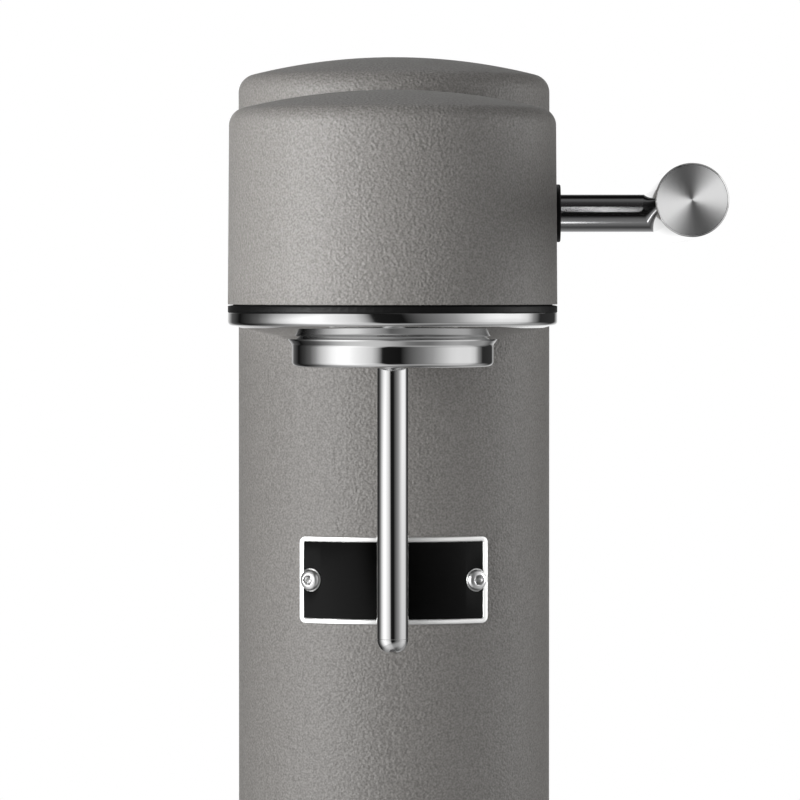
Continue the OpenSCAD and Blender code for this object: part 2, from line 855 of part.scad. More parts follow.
// Points of one ring around c in the plane of u and v
function ring(c, u, v, r, sides) =
    [for (i = [0:sides - 1]) c + r * (cos(360 * i / sides) * u + sin(360 * i / sides) * v)];

// Side faces between ring i and the next, for rings of n points that start at base
function wall_faces(base, i, n) = [
    for (j = [0:n - 1])
        let (k = (j + 1) % n, a = base + i * n, b = base + (i + 1) * n)
        each [[a + j, b + j, b + k], [a + j, b + k, a + k]]
];

function flipped(faces) = [for (f = faces) [f[0], f[2], f[1]]];

// Return spring: a close torsion coil around the shaft
module return_spring() {
    x0 = cam_w / 2 + move_gap + wire_r;
    x1 = ear_outer_x - wire_r - move_gap;
    steps = spring_turns * wire_steps;
    pts = [
        for (i = [0:steps])
            let (
                a = 360 * spring_turns * i / steps,
                c = [x0 + (x1 - x0) * i / steps, shaft_y + spring_r * cos(a),
                    shaft_z + spring_r * sin(a)],
                u = [0, cos(a), sin(a)]
            )
            each ring(c, u, [1, 0, 0], wire_r, wire_sides)
    ];
    last = steps * wire_sides;
    color([0.6, 0.6, 0.62])
        polyhedron(pts, concat(
            [for (i = [0:steps - 1]) each wall_faces(0, i, wire_sides)],
            [for (j = [1:wire_sides - 2]) [0, j, j + 1]],
            [for (j = [1:wire_sides - 2]) [last, last + j + 1, last + j]]
        ));
}

// Rocker: a cranked steel arm between the cam and the valve pin
module rocker_arm() {
    front = shaft_y - shaft_r;
    flat_back = shaft_y + cam_rest + cam_rate;
    color([0.58, 0.59, 0.61])
        across(-rocker_w / 2, rocker_w / 2)
            difference() {
                union() {
                    polygon([
                        [front, follower_z],
                        [flat_back, follower_z],
                        [pivot_y - rocker_d, pivot_z - rocker_d * 3 / 4],
                        [pivot_y + rocker_d, pivot_z - rocker_d / 2],
                        [cylinder_y, nose_z - nose_r / 2],
                        [cylinder_y, nose_z + nose_r / 2],
                        [pivot_y, pivot_z + rocker_d * 3 / 4],
                        [flat_back, follower_z + rocker_d],
                        [front + rocker_d / 2, follower_z + rocker_d],
                        [front, follower_z + rocker_d / 2]
                    ]);
                    translate([pivot_y, pivot_z])
                        circle(r = rocker_d);
                    translate([cylinder_y, nose_z])
                        circle(r = nose_r);
                }
                translate([pivot_y, pivot_z])
                    circle(r = pivot_r + run_fit);
            }
}

// Pivot pin of the rocker
module rocker_pin() {
    color([0.7, 0.7, 0.72])
        bar_x(pivot_r, -pin_half, pin_half, pivot_y, pivot_z);
}

// Spring clips on the two ends of the pivot pin
module pin_clips() {
    clip_t = rocker_ear_t / 4;
    clip_x = rocker_ear_x + rocker_ear_t + slip;
    color([0.4, 0.4, 0.42])
        for (side = [0, 1])
            mirror([side, 0, 0])
                difference() {
                    bar_x(pivot_r + 2 * clip_t, clip_x, clip_x + clip_t, pivot_y, pivot_z);
                    bar_x(pivot_r + slip / 2, clip_x - over, clip_x + clip_t + over,
                        pivot_y, pivot_z);
                }
}

// Valve pin: a brass plunger with a mushroom head
module valve_plunger() {
    color([0.75, 0.6, 0.3])
        translate([0, cylinder_y, 0])
            rotate_extrude()
                polygon([
                    [0, stem_z],
                    [plunger_r, stem_z],
                    [plunger_r, plunger_top - plunger_head_h],
                    [plunger_head_r, plunger_top - plunger_head_h],
                    [plunger_head_r, plunger_top - plunger_head_h / 3],
                    [plunger_head_r - plunger_head_h / 3, plunger_top],
                    [0, plunger_top]
                ]);
}

// Brass valve block with the cylinder's threaded seat
module valve_block() {
    chamfer = frame_t;
    color([0.74, 0.58, 0.28])
    difference() {
        translate([0, cylinder_y, frame_top])
            linear_extrude(valve_h)
                polygon([
                    for (q = [[1, 1], [-1, 1], [-1, -1], [1, -1]])
                        each (q.x * q.y > 0
                            ? [[q.x * valve_w / 2, q.y * (valve_d / 2 - chamfer)],
                               [q.x * (valve_w / 2 - chamfer), q.y * valve_d / 2]]
                            : [[q.x * (valve_w / 2 - chamfer), q.y * valve_d / 2],
                               [q.x * valve_w / 2, q.y * (valve_d / 2 - chamfer)]])
                ]);
        bar_z(neck_clear_r, frame_top - over, seat_z, 0, cylinder_y);
        bar_z(seat_r, seat_z - over, seat_top, 0, cylinder_y);
        bar_z(plunger_r + run_fit, seat_top - over, valve_top + over, 0, cylinder_y);
        bar_y(hose_bore_r + slip, cylinder_y - valve_d / 2 - over, cylinder_y - neck_clear_r,
            hose_out_x, hose_out_z);
        for (a = [45:90:315])
            bar_z(screw_r, frame_top - over, frame_top + 2 * boss_r,
                valve_w / 2 * valve_screw_share * sign(cos(a)),
                cylinder_y + valve_d / 2 * valve_screw_share * sign(sin(a)));
    }
}

// Washer between the cylinder's valve and its seat
module valve_seal() {
    color([0.1, 0.1, 0.1])
    difference() {
        bar_z(seat_r - slip, stem_top, seat_top, 0, cylinder_y);
        bar_z(plunger_r + pin_travel, stem_top - over, seat_top + over, 0, cylinder_y);
    }
}

// Gas cylinder: a drawn aluminium bottle with a domed shoulder and a neck
module gas_cylinder() {
    inner_r = cylinder_r - cylinder_wall;
    color([0.7, 0.72, 0.75])
        translate([0, cylinder_y, 0])
            rotate_extrude()
                polygon(concat(
                    [[0, cylinder_lift + cylinder_wall]],
                    [[cylinder_r - 2 * foot_edge_r, cylinder_lift + cylinder_wall / 2]],
                    arc([cylinder_r - foot_edge_r, cylinder_lift + foot_edge_r], foot_edge_r,
                        -90, 0, edge_steps),
                    [for (i = [0:crown_steps])
                        let (t = i / crown_steps * 90)
                        [neck_r + (cylinder_r - neck_r) * cos(t),
                            shoulder_z + cylinder_dome * sin(t)]],
                    [
                        [neck_r, neck_top],
                        [neck_bore_r, neck_top],
                        [neck_bore_r, shoulder_z + cylinder_dome - cylinder_wall]
                    ],
                    [for (i = [crown_steps - 1:-1:0])
                        let (t = i / crown_steps * 90)
                        [neck_bore_r + (inner_r - neck_bore_r) * cos(t),
                            shoulder_z + (cylinder_dome - cylinder_wall) * sin(t)]],
                    [
                        [inner_r, cylinder_lift + foot_edge_r],
                        [inner_r - foot_edge_r / 2, cylinder_lift + 2 * cylinder_wall],
                        [0, cylinder_lift + 2 * cylinder_wall]
                    ]
                ));
}

// Brass valve in the cylinder's neck, with its stem in a small well
module cylinder_valve() {
    well_r = plunger_r + pin_travel / 2;
    well_z = stem_top - pin_travel * 2;
    color([0.78, 0.62, 0.3])
    difference() {
        union() {
            bar_z(neck_bore_r - slip, neck_top - cylinder_dome / 2, neck_top, 0, cylinder_y);
            hex_z(neck_r, neck_top, seat_z - slip, 0, cylinder_y);
            bar_z(seat_r - run_fit, seat_z - slip, stem_top, 0, cylinder_y);
        }
        difference() {
            bar_z(well_r, well_z, stem_top + over, 0, cylinder_y);
            bar_z(well_r / 3, well_z - over, stem_top - move_gap, 0, cylinder_y);
        }
    }
}

// Guide for the cylinder: a ring with ribs out to the column's wall
module cylinder_guide() {
    ring_r = cylinder_r + move_gap + 2 * spine_t;
    rib_z = base_h + cylinder_dome;
    reach = column_r - column_wall - slip;
    color([0.12, 0.12, 0.13])
    difference() {
        union() {
            bar_z(ring_r, base_h, rib_z, 0, cylinder_y);
            intersection() {
                stadium_plate(reach, column_y, column_back_y, base_h, rib_z, true);
                union() {
                    translate([-column_r, cylinder_y - spine_t, base_h])
                        cube([2 * column_r, 2 * spine_t, rib_z - base_h]);
                    translate([-spine_t, cylinder_y, base_h])
                        cube([2 * spine_t, column_depth, rib_z - base_h]);
                }
            }
        }
        bar_z(cylinder_r + move_gap, base_h - over, rib_z + over, 0, cylinder_y);
        translate([0, cylinder_y, base_h - over])
            cylinder(r1 = hatch_r, r2 = cylinder_r, h = 2 * spine_t + over);
    }
}

// A hose fitting along Y: a hexagonal nut and a barb, on the side that dir gives
module hose_fitting(x, y, z, dir) {
    difference() {
        union() {
            translate([x, y, z])
                rotate([-90 * dir, 0, 0])
                    cylinder(r = nut_r, h = nut_l - hose_r / 2, $fn = 6);
            translate([x, y, z])
                rotate([-90 * dir, 0, 0])
                    cylinder(r = barb_r, h = nut_l + barb_l);
            translate([x, y, z])
                rotate([90 * dir, 0, 0])
                    cylinder(r = barb_r, h = nut_l / 2);
        }
        translate([x, y - dir * nut_l, z])
            rotate([-90 * dir, 0, 0])
                cylinder(r = hose_bore_r / 2, h = 2 * nut_l + barb_l + over);
    }
}

module hose_outlet() {
    color([0.76, 0.6, 0.3])
        hose_fitting(hose_out_x, cylinder_y - valve_d / 2, hose_out_z, -1);
}

module hose_inlet() {
    color([0.76, 0.6, 0.3])
        hose_fitting(0, block_r, hose_in_z, 1);
}

// A point of the hose's route: a curve that leaves both fittings straight
function hose_point(t) =
    pow(1 - t, 3) * hose_start
    + 3 * t * pow(1 - t, 2) * (hose_start + [0, hose_lead, 0])
    + 3 * t * t * (1 - t) * (hose_end - [0, hose_lead, 0])
    + pow(t, 3) * hose_end;

function hose_heading(t) =
    let (
        d = pow(1 - t, 2) * [0, hose_lead, 0]
            + 2 * t * (1 - t) * (hose_end - hose_start - 2 * [0, hose_lead, 0])
            + t * t * [0, hose_lead, 0]
    )
    d / norm(d);

// Gas hose between the valve block and the nozzle block, with its bore
module gas_hose() {
    function rings(r) = [
        for (i = [0:hose_steps])
            let (
                t = i / hose_steps,
                d = hose_heading(t),
                s = cross(d, [0, 0, 1]),
                u = s / norm(s)
            )
            each ring(hose_point(t), u, cross(d, u), r, hose_sides)
    ];
    n = hose_sides;
    inner = (hose_steps + 1) * n;
    last = hose_steps * n;
    color([0.15, 0.15, 0.16])
        polyhedron(
            concat(rings(hose_r), rings(hose_bore_r)),
            concat(
                flipped([for (i = [0:hose_steps - 1]) each wall_faces(0, i, n)]),
                [for (i = [0:hose_steps - 1]) each wall_faces(inner, i, n)],
                [for (j = [0:n - 1])
                    let (k = (j + 1) % n)
                    each [[j, inner + j, inner + k], [j, inner + k, k]]],
                [for (j = [0:n - 1])
                    let (k = (j + 1) % n, a = last, b = inner + last)
                    each [[a + j, b + k, b + j], [a + j, a + k, b + k]]]
            )
        );
}

// Relief valve: a brass body in the side of the valve block
module relief_valve() {
    body_r = boss_r * 1.3;
    body_l = valve_w / 3;
    color([0.76, 0.6, 0.3])
    difference() {
        union() {
            translate([valve_w / 2, cylinder_y, hose_out_z])
                rotate([0, 90, 0])
                    cylinder(r = body_r, h = body_l / 3, $fn = 6);
            bar_x(body_r * 0.8, valve_w / 2 + body_l / 3, valve_w / 2 + body_l,
                cylinder_y, hose_out_z);
        }
        bar_x(body_r / 2, valve_w / 2 + body_l / 3, valve_w / 2 + body_l + over,
            cylinder_y, hose_out_z);
    }
}

// Red cap that holds the relief valve's spring
module relief_cap() {
    body_r = boss_r * 1.3;
    body_l = valve_w / 3;
    color([0.5, 0.12, 0.1])
        union() {
            bar_x(body_r, valve_w / 2 + body_l, valve_w / 2 + body_l + spine_t,
                cylinder_y, hose_out_z);
            bar_x(body_r / 2 - slip, valve_w / 2 + body_l / 2, valve_w / 2 + body_l + spine_t / 2,
                cylinder_y, hose_out_z);
        }
}

// Base: a low steel casing with the drip tray's recess and the cylinder's opening
module base_shell() {
    inner_r = head_r - base_wall;
    color([0.47, 0.455, 0.44])
    difference() {
        union() {
            difference() {
                stadium_body(slab_half(head_r, sole_h, base_h, base_edge_r), sole_h,
                    0, base_back_y, true);
                stadium_plate(inner_r, 0, base_back_y, sole_h - over, base_h - base_wall, true);
            }
            bar_z(recess_r + base_wall / 2, recess_z - base_wall / 2, base_h - base_wall / 2, 0, 0);
            bar_z(hatch_r + base_wall, pan_top, base_h - base_wall / 2, 0, cylinder_y);
            for (p = base_bosses)
                bar_z(boss_r, pan_top, base_h - base_wall / 2, p.x, p.y);
        }
        bar_z(recess_r, recess_z, base_h + over, 0, 0);
        bar_z(hatch_r, sole_h - over, base_h + over, 0, cylinder_y);
        for (p = base_bosses)
            bar_z(screw_r, sole_h - over, base_h - 2 * base_wall, p.x, p.y);
    }
}

// Steel pan that closes the base from below
module base_pan() {
    color([0.55, 0.56, 0.58])
    difference() {
        stadium_plate(head_r - base_wall - slip, 0, base_back_y, sole_h, pan_top, true);
        bar_z(hatch_r, sole_h - over, pan_top + over, 0, cylinder_y);
        for (p = base_bosses)
            bar_z(screw_r + slip, sole_h - over, pan_top + over, p.x, p.y);
    }
}

// Rubber sole under the base
module foot_sole() {
    color([0.07, 0.07, 0.07])
    difference() {
        stadium_plate(head_r - base_wall / 3, 0, base_back_y, 0, sole_h, true);
        bar_z(hatch_r, -over, sole_h + over, 0, cylinder_y);
        for (p = base_bosses)
            bar_z(boss_r, -over, sole_h + over, p.x, p.y);
    }
}

// Four screws that hold the pan and sole to the base
module base_screws() {
    head_t = sole_h * 0.7;
    color([0.45, 0.45, 0.47])
        for (p = base_bosses)
            difference() {
                union() {
                    bar_z(2 * screw_r, sole_h - head_t, sole_h, p.x, p.y);
                    bar_z(screw_r - slip / 2, sole_h, base_h / 2, p.x, p.y);
                }
                bar_z(screw_r, sole_h - head_t - over, sole_h - head_t / 2, p.x, p.y);
            }
}

// Drip tray: a pressed steel dish whose rim laps over the base
module drip_tray() {
    floor_z = recess_z + move_gap;
    bend = 3 * tray_wall;
    rim_r = recess_r + tray_lap;
    swell = tray_wall;
    color([0.75, 0.75, 0.76])
        rotate_extrude()
            polygon(concat(
                [[0, floor_z + swell], [tray_r / 2, floor_z + swell], [tray_r * 0.6, floor_z]],
                arc([tray_r - bend, floor_z + bend], bend, -90, 0, edge_steps),
                [
                    [tray_r, tray_rim_z],
                    [rim_r, tray_rim_z],
                    [rim_r, tray_rim_z + tray_wall],
                    [tray_r - tray_wall + bend / 3, tray_rim_z + tray_wall],
                    [tray_r - tray_wall, tray_rim_z]
                ],
                reversed(arc([tray_r - bend, floor_z + bend], bend - tray_wall, -90, 0, edge_steps)),
                [
                    [tray_r * 0.6 + swell, floor_z + tray_wall],
                    [tray_r / 2 + swell, floor_z + swell + tray_wall],
                    [0, floor_z + swell + tray_wall]
                ]
            ));
}

// Outline of a plate with rounded corners, in x and z about the badge's centre
function plate_outline(w, h, r) = concat(
    arc([w / 2 - r, h / 2 - r], r, 0, 90, edge_steps),
    arc([r - w / 2, h / 2 - r], r, 90, 180, edge_steps),
    arc([r - w / 2, r - h / 2], r, 180, 270, edge_steps),
    arc([w / 2 - r, r - h / 2], r, 270, 360, edge_steps)
);

// The recessed field, which leaves a round land at each screw
module field_cut(play) {
    difference() {
        run(0, column_y)
            translate([0, badge_z])
                polygon(plate_outline(badge_w - 2 * (badge_border + play),
                    badge_h - 2 * (badge_border + play), field_corner));
        for (side = [-1, 1])
            translate([0, column_y, badge_z])
                rotate([90, 0, side * badge_screw_a])
                    cylinder(r = lobe_r + play, h = badge_out_r + over);
    }
}

// A curved sheet that follows the column's round front
module badge_sheet(r0, r1) {
    difference() {
        bar_z(r1, badge_z - badge_h, badge_z + badge_h, 0, column_y);
        bar_z(r0, badge_z - badge_h - over, badge_z + badge_h + over, 0, column_y);
    }
}

// Badge plate: bright metal, curved to the column, with a bare recessed field
module badge_plate() {
    field_r = badge_out_r - badge_recess;
    color([0.8, 0.8, 0.8])
    difference() {
        intersection() {
            badge_sheet(badge_in_r, badge_out_r);
            run(0, column_y)
                translate([0, badge_z])
                    polygon(plate_outline(badge_w, badge_h, badge_corner));
        }
        intersection() {
            badge_sheet(field_r, badge_out_r + over);
            field_cut(0);
        }
        for (side = [-1, 1])
            translate([0, column_y, badge_z])
                rotate([90, 0, side * badge_screw_a])
                    cylinder(r = badge_shank_r + slip, h = badge_out_r + over);
    }
}

// Dark inlay in the badge's field
module badge_inlay() {
    field_r = badge_out_r - badge_recess;
    color([0.03, 0.03, 0.03])
        intersection() {
            badge_sheet(field_r + slip / 2, field_r + inlay_t);
            field_cut(slip);
        }
}

// Two hex socket screws that hold the badge
module badge_screws() {
    dome = badge_head_r / 2;
    shank_in = column_r - column_wall - 2 * badge_head_r;
    socket_r = badge_head_r * 0.52;
    seat = badge_out_r + slip;
    color([0.75, 0.75, 0.76])
        for (side = [-1, 1])
            translate([0, column_y, badge_z])
                rotate([90, 0, side * badge_screw_a])
                    difference() {
                        rotate_extrude()
                            polygon([
                                [0, shank_in],
                                [badge_shank_r, shank_in],
                                [badge_shank_r, seat],
                                [badge_head_r, seat],
                                [badge_head_r, seat + dome / 4],
                                [badge_head_r * 0.85, seat + dome * 0.75],
                                [badge_head_r * 0.55, seat + dome],
                                [0, seat + dome]
                            ]);
                        translate([0, 0, seat + dome / 4])
                            cylinder(r = socket_r, h = dome + over, $fn = 6);
                    }
}

// A pan head screw along Z whose head sits on z and whose shank points down
module screw_down(x, y, z, l) {
    bar_z(2 * screw_r, z, z + screw_r, x, y);
    bar_z(screw_r - slip / 2, z - l, z, x, y);
}

// Screws that pull the trim plate up to the head frame
module trim_screws() {
    color([0.5, 0.5, 0.52])
        for (p = trim_screws_at)
            screw_down(p.x, p.y, frame_top, frame_t + gasket_h + trim_h / 2);
}

// Screws that hold the spine to the head frame
module spine_screws() {
    color([0.5, 0.5, 0.52])
        for (side = [-1, 1])
            screw_down(side * spine_w * spine_screw_share,
                spine_y + spine_tab * spine_screw_share, frame_top, frame_t + 2 * spine_t);
}

// Screws that hold the valve block from below
module valve_screws() {
    color([0.5, 0.5, 0.52])
        for (a = [45:90:315])
            translate([valve_w / 2 * valve_screw_share * sign(cos(a)),
                cylinder_y + valve_d / 2 * valve_screw_share * sign(sin(a)), frame_z])
                mirror([0, 0, 1])
                    screw_down(0, 0, 0, frame_t + boss_r);
}

column_shell();
head_shell();
head_gasket();
trim_plate();
bottle_cup();
bottle_collar();
bottle_seal();
nozzle_block();
nozzle_tube();
nozzle_tip();
head_frame();
spine_frame();
shaft_grommet();
bush_outer();
bush_inner();
lever_shaft();
lever_handle();
lever_cam();
cam_pin();
return_spring();
rocker_arm();
rocker_pin();
pin_clips();
valve_plunger();
valve_block();
valve_seal();
gas_cylinder();
cylinder_valve();
cylinder_guide();
hose_outlet();
hose_inlet();
gas_hose();
relief_valve();
relief_cap();
base_shell();
base_pan();
foot_sole();
base_screws();
drip_tray();
badge_plate();
badge_inlay();
badge_screws();
trim_screws();
spine_screws();
valve_screws();
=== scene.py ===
import json
from math import asin, ceil, cos, degrees, pi, radians, sin, sqrt, tan

import bmesh
import bpy
from mathutils import Matrix, Vector


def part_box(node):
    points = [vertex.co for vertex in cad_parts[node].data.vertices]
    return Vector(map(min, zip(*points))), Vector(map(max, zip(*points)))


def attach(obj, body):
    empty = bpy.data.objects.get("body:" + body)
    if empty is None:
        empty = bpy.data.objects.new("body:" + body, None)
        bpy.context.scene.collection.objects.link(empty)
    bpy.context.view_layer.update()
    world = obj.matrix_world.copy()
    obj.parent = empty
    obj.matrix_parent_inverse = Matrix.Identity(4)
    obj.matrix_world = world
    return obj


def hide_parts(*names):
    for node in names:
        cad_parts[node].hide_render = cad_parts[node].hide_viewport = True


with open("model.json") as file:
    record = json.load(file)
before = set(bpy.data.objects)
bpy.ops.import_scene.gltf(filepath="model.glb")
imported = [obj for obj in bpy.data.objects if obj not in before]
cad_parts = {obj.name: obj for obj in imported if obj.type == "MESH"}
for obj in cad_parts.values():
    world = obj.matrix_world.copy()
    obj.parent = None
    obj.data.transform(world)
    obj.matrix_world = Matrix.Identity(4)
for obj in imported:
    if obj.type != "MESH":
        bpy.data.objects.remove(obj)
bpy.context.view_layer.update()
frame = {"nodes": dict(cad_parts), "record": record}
nodes = frame["nodes"]
body_of_node = {
    node: body for body, held in frame["record"]["behaviour"]["bodies"].items() for node in held
}
mm = 0.001

# Camera
# It stands nearly level with the head, well back, and looks straight at the front, so that
# the machine fills the frame and its lower half runs out of the picture.
eye = Vector((8.5, -1800, 340)) * mm
aim = Vector((2.3, 0, 302.8)) * mm
camera_data = bpy.data.cameras.new("camera")
camera_data.sensor_width = 36
camera_data.lens = 260.8
camera = bpy.data.objects.new("camera", camera_data)
camera.location = eye
camera.rotation_euler = (aim - eye).to_track_quat("-Z", "Y").to_euler()
bpy.context.scene.collection.objects.link(camera)
bpy.context.scene.camera = camera
bpy.context.scene.view_settings.view_transform = "Standard"

# Studio surround
# White all round to the eye. What the machine sees is two broad white screens, the dark gap
# between them where the camera stands, and two black cards behind the machine. The screens
# lean a little: the right one hangs higher than the left one.
surround = bpy.data.worlds.new("surround")
surround.use_nodes = True
bpy.context.scene.world = surround
sky = surround.node_tree
sky.nodes.clear()
screen_light = 1.17
screen_lean = radians(18)
# Bearing in degrees, 0 towards the camera and positive to its right, with the brightness there
bearings = [
    (-180, 0.95), (-165, 0.45), (-153, 0.08), (-136, 0.004), (-121, 0.037),
    (-109, 0.091), (-99, 0.24), (-90, 0.48), (-81, 0.67), (-73, 0.86), (-64, 0.98), (-50, 0.955),
    (-44, 0.84), (-31, 0.665), (-24, 0.56), (-18, 0.32), (-12.5, 0.01), (7, 0.006), (12, 0.04),
    (19, 0.09), (32, 0.17), (44, 0.28), (54, 0.47), (62, 0.62), (70, 0.77), (80, 0.85),
    (100, 0.82), (110, 0.64), (118, 0.22), (127, 0.02), (158, 0.03), (180, 0.95),
]
# Height in degrees, with the share of that brightness, and a dull light from below
heights = [(-90, 0.05), (-60, 0.18), (-40, 0.32), (-26, 0.52), (-18, 1), (16, 1), (26, 0.3), (90, 0.2)]
fill = [(-90, 0.05), (-75, 0.08), (-56, 0.26), (-37, 0.24), (-20, 0), (90, 0)]


def ramp(tree, stops, low, high, value):
    """A colour ramp on a value, whose stops are given in degrees between low and high."""
    node = tree.nodes.new("ShaderNodeValToRGB")
    points = node.color_ramp.elements
    while len(points) < len(stops):
        points.new(0.5)
    for point, (angle, bright) in zip(points, stops):
        point.position = (angle - low) / (high - low)
        point.color = (bright, bright, bright, 1)
    tree.links.new(value, node.inputs[0])
    return node.outputs["Color"]


def math_node(tree, operation, first, second=None):
    """A Math node; each input is a socket or a number."""
    node = tree.nodes.new("ShaderNodeMath")
    node.operation = operation
    for socket, value in zip(node.inputs, (first, second)):
        if isinstance(value, (int, float)):
            socket.default_value = value
        elif value is not None:
            tree.links.new(value, socket)
    return node.outputs[0]


def span(tree, value, low, high, to_low=0.0, to_high=1.0):
    """A Map Range node between two limits."""
    node = tree.nodes.new("ShaderNodeMapRange")
    for label, number in (("From Min", low), ("From Max", high), ("To Min", to_low), ("To Max", to_high)):
        node.inputs[label].default_value = number
    tree.links.new(value, node.inputs["Value"])
    return node.outputs["Result"]


def choose(tree, factor, first, second):
    """A Mix Shader between two shaders."""
    node = tree.nodes.new("ShaderNodeMixShader")
    tree.links.new(factor, node.inputs[0])
    tree.links.new(first, node.inputs[1])
    tree.links.new(second, node.inputs[2])
    return node.outputs[0]


lean = sky.nodes.new("ShaderNodeMapping")
lean.vector_type = "VECTOR"
lean.inputs["Rotation"].default_value = (0, screen_lean, 0)
sky.links.new(sky.nodes.new("ShaderNodeTexCoord").outputs["Generated"], lean.inputs["Vector"])
split = sky.nodes.new("ShaderNodeSeparateXYZ")
sky.links.new(lean.outputs[0], split.inputs[0])
forward = math_node(sky, "MULTIPLY", split.outputs["Y"], -1)
bearing = math_node(sky, "ARCTAN2", split.outputs["X"], forward)
bearing_share = math_node(sky, "ADD", math_node(sky, "DIVIDE", bearing, 2 * pi), 0.5)
height = math_node(sky, "ARCSINE", split.outputs["Z"])
height_share = math_node(sky, "ADD", math_node(sky, "DIVIDE", height, pi), 0.5)
screens = sky.nodes.new("ShaderNodeBackground")
screens.inputs["Strength"].default_value = screen_light
screen_look = math_node(sky, "MULTIPLY", ramp(sky, bearings, -180, 180, bearing_share),
                        ramp(sky, heights, -90, 90, height_share))
sky.links.new(math_node(sky, "ADD", screen_look, ramp(sky, fill, -90, 90, height_share)),
              screens.inputs["Color"])
backdrop = sky.nodes.new("ShaderNodeBackground")
backdrop.inputs["Color"].default_value = (1, 1, 1, 1)
camera_ray = sky.nodes.new("ShaderNodeLightPath").outputs["Is Camera Ray"]
seen = choose(sky, camera_ray, screens.outputs[0], backdrop.outputs[0])
sky.links.new(seen, sky.nodes.new("ShaderNodeOutputWorld").inputs[0])

# Lamps
# A broad softbox on the left, a strip on the right, one behind and a gridded one for the head
# alone light the matt surfaces. Small cards light the lever's shaft, the handle's face and the badge.
matt_surfaces = bpy.data.collections.new("matt_surfaces")
shaft_surface = bpy.data.collections.new("shaft_surface")
face_surface = bpy.data.collections.new("face_surface")
badge_surface = bpy.data.collections.new("badge_surface")
lamp_aim_y = 60 * mm


def softbox(name, lights, bearing, rise, distance, aim_height, wide, high, brightness, spread=180):
    """A soft lamp on a bearing round the machine, turned to a height on its middle."""
    lamp = bpy.data.lights.new(name, "AREA")
    lamp.shape = "RECTANGLE"
    lamp.size = wide
    lamp.size_y = high
    lamp.energy = brightness * pi * wide * high
    lamp.spread = radians(spread)
    holder = bpy.data.objects.new(name, lamp)
    a = radians(bearing)
    target = Vector((0, lamp_aim_y, aim_height))
    holder.location = target + Vector((sin(a), -cos(a), tan(radians(rise)))) * distance
    holder.rotation_euler = (target - holder.location).to_track_quat("-Z", "Y").to_euler()
    holder.light_linking.receiver_collection = lights
    bpy.context.scene.collection.objects.link(holder)


softbox("key_softbox", matt_surfaces, bearing=-52, rise=2, distance=1.7, aim_height=0.36,
        wide=1.15, high=0.85, brightness=8.2)
softbox("side_strip", matt_surfaces, bearing=100, rise=4, distance=1.5, aim_height=0.3,
        wide=0.53, high=0.75, brightness=3.8)
softbox("back_softbox", matt_surfaces, bearing=172, rise=50, distance=1.2, aim_height=0.4,
        wide=0.8, high=0.5, brightness=2.4)
softbox("gridded_softbox", matt_surfaces, bearing=-62, rise=0, distance=0.5, aim_height=0.373,
        wide=0.26, high=0.094, brightness=0.36, spread=5)
softbox("high_card", shaft_surface, bearing=7.6, rise=23, distance=1.4, aim_height=0.36,
        wide=0.03, high=0.8, brightness=4.4)
softbox("low_card", shaft_surface, bearing=11, rise=-55, distance=0.226, aim_height=0.36,
        wide=0.08, high=0.06, brightness=2.9)
softbox("face_card", face_surface, bearing=46, rise=12, distance=1.2, aim_height=0.36,
        wide=1.3, high=1.1, brightness=1.7)
softbox("badge_card", badge_surface, bearing=38, rise=0, distance=1.3, aim_height=0.25,
        wide=0.6, high=0.6, brightness=1.2)

# Floor
# A pale matt sheet that takes the machine's soft shadow and fades into the white surround.
# It stays out of the mirrors, where the screens reach lower.
floor_radius = 1.4
fade_start = 0.45
fade_end = 1.1
near_white = 0.3
floor_colour = (0.86, 0.86, 0.86, 1)
floor_mesh = bmesh.new()
bmesh.ops.create_circle(floor_mesh, cap_ends=True, segments=96, radius=floor_radius)
floor_data = bpy.data.meshes.new("floor")
floor_mesh.to_mesh(floor_data)
floor_mesh.free()
floor_sheet = bpy.data.objects.new("floor", floor_data)
bpy.context.scene.collection.objects.link(floor_sheet)
floor_sheet.visible_glossy = False
matt_surfaces.objects.link(floor_sheet)
floor_paint = bpy.data.materials.new("floor_paper")
floor_paint.use_nodes = True
paper = floor_paint.node_tree
paper.nodes.clear()
reach = paper.nodes.new("ShaderNodeVectorMath")
reach.operation = "LENGTH"
paper.links.new(paper.nodes.new("ShaderNodeTexCoord").outputs["Object"], reach.inputs[0])
floor_path = paper.nodes.new("ShaderNodeLightPath")
paper_matt = paper.nodes.new("ShaderNodeBsdfDiffuse")
paper_matt.inputs["Color"].default_value = floor_colour
white = paper.nodes.new("ShaderNodeEmission")
fade = span(paper, reach.outputs["Value"], fade_start, fade_end, to_low=near_white)
far_part = math_node(paper, "MULTIPLY", fade, floor_path.outputs["Is Camera Ray"])
floor_look = choose(paper, far_part, paper_matt.outputs[0], white.outputs[0])
paper.links.new(floor_look, paper.nodes.new("ShaderNodeOutputMaterial").inputs[0])
floor_data.materials.append(floor_paint)

# Rubber sole and zinc plated pan
# The sole is die cut from matt sheet and the pan from plated steel, which dulls in patches.
# The pan closes the base from below and four screws hold both.


def finish(name, colour, roughness, metallic=0.0):
    """A material with a Principled shader and its Object coordinates: (material, shader, place)."""
    material = bpy.data.materials.new(name)
    material.use_nodes = True
    shader = material.node_tree.nodes["Principled BSDF"]
    shader.inputs["Base Color"].default_value = (*colour, 1)
    shader.inputs["Roughness"].default_value = roughness
    shader.inputs["Metallic"].default_value = metallic
    place = material.node_tree.nodes.new("ShaderNodeTexCoord").outputs["Object"]
    return material, shader, place


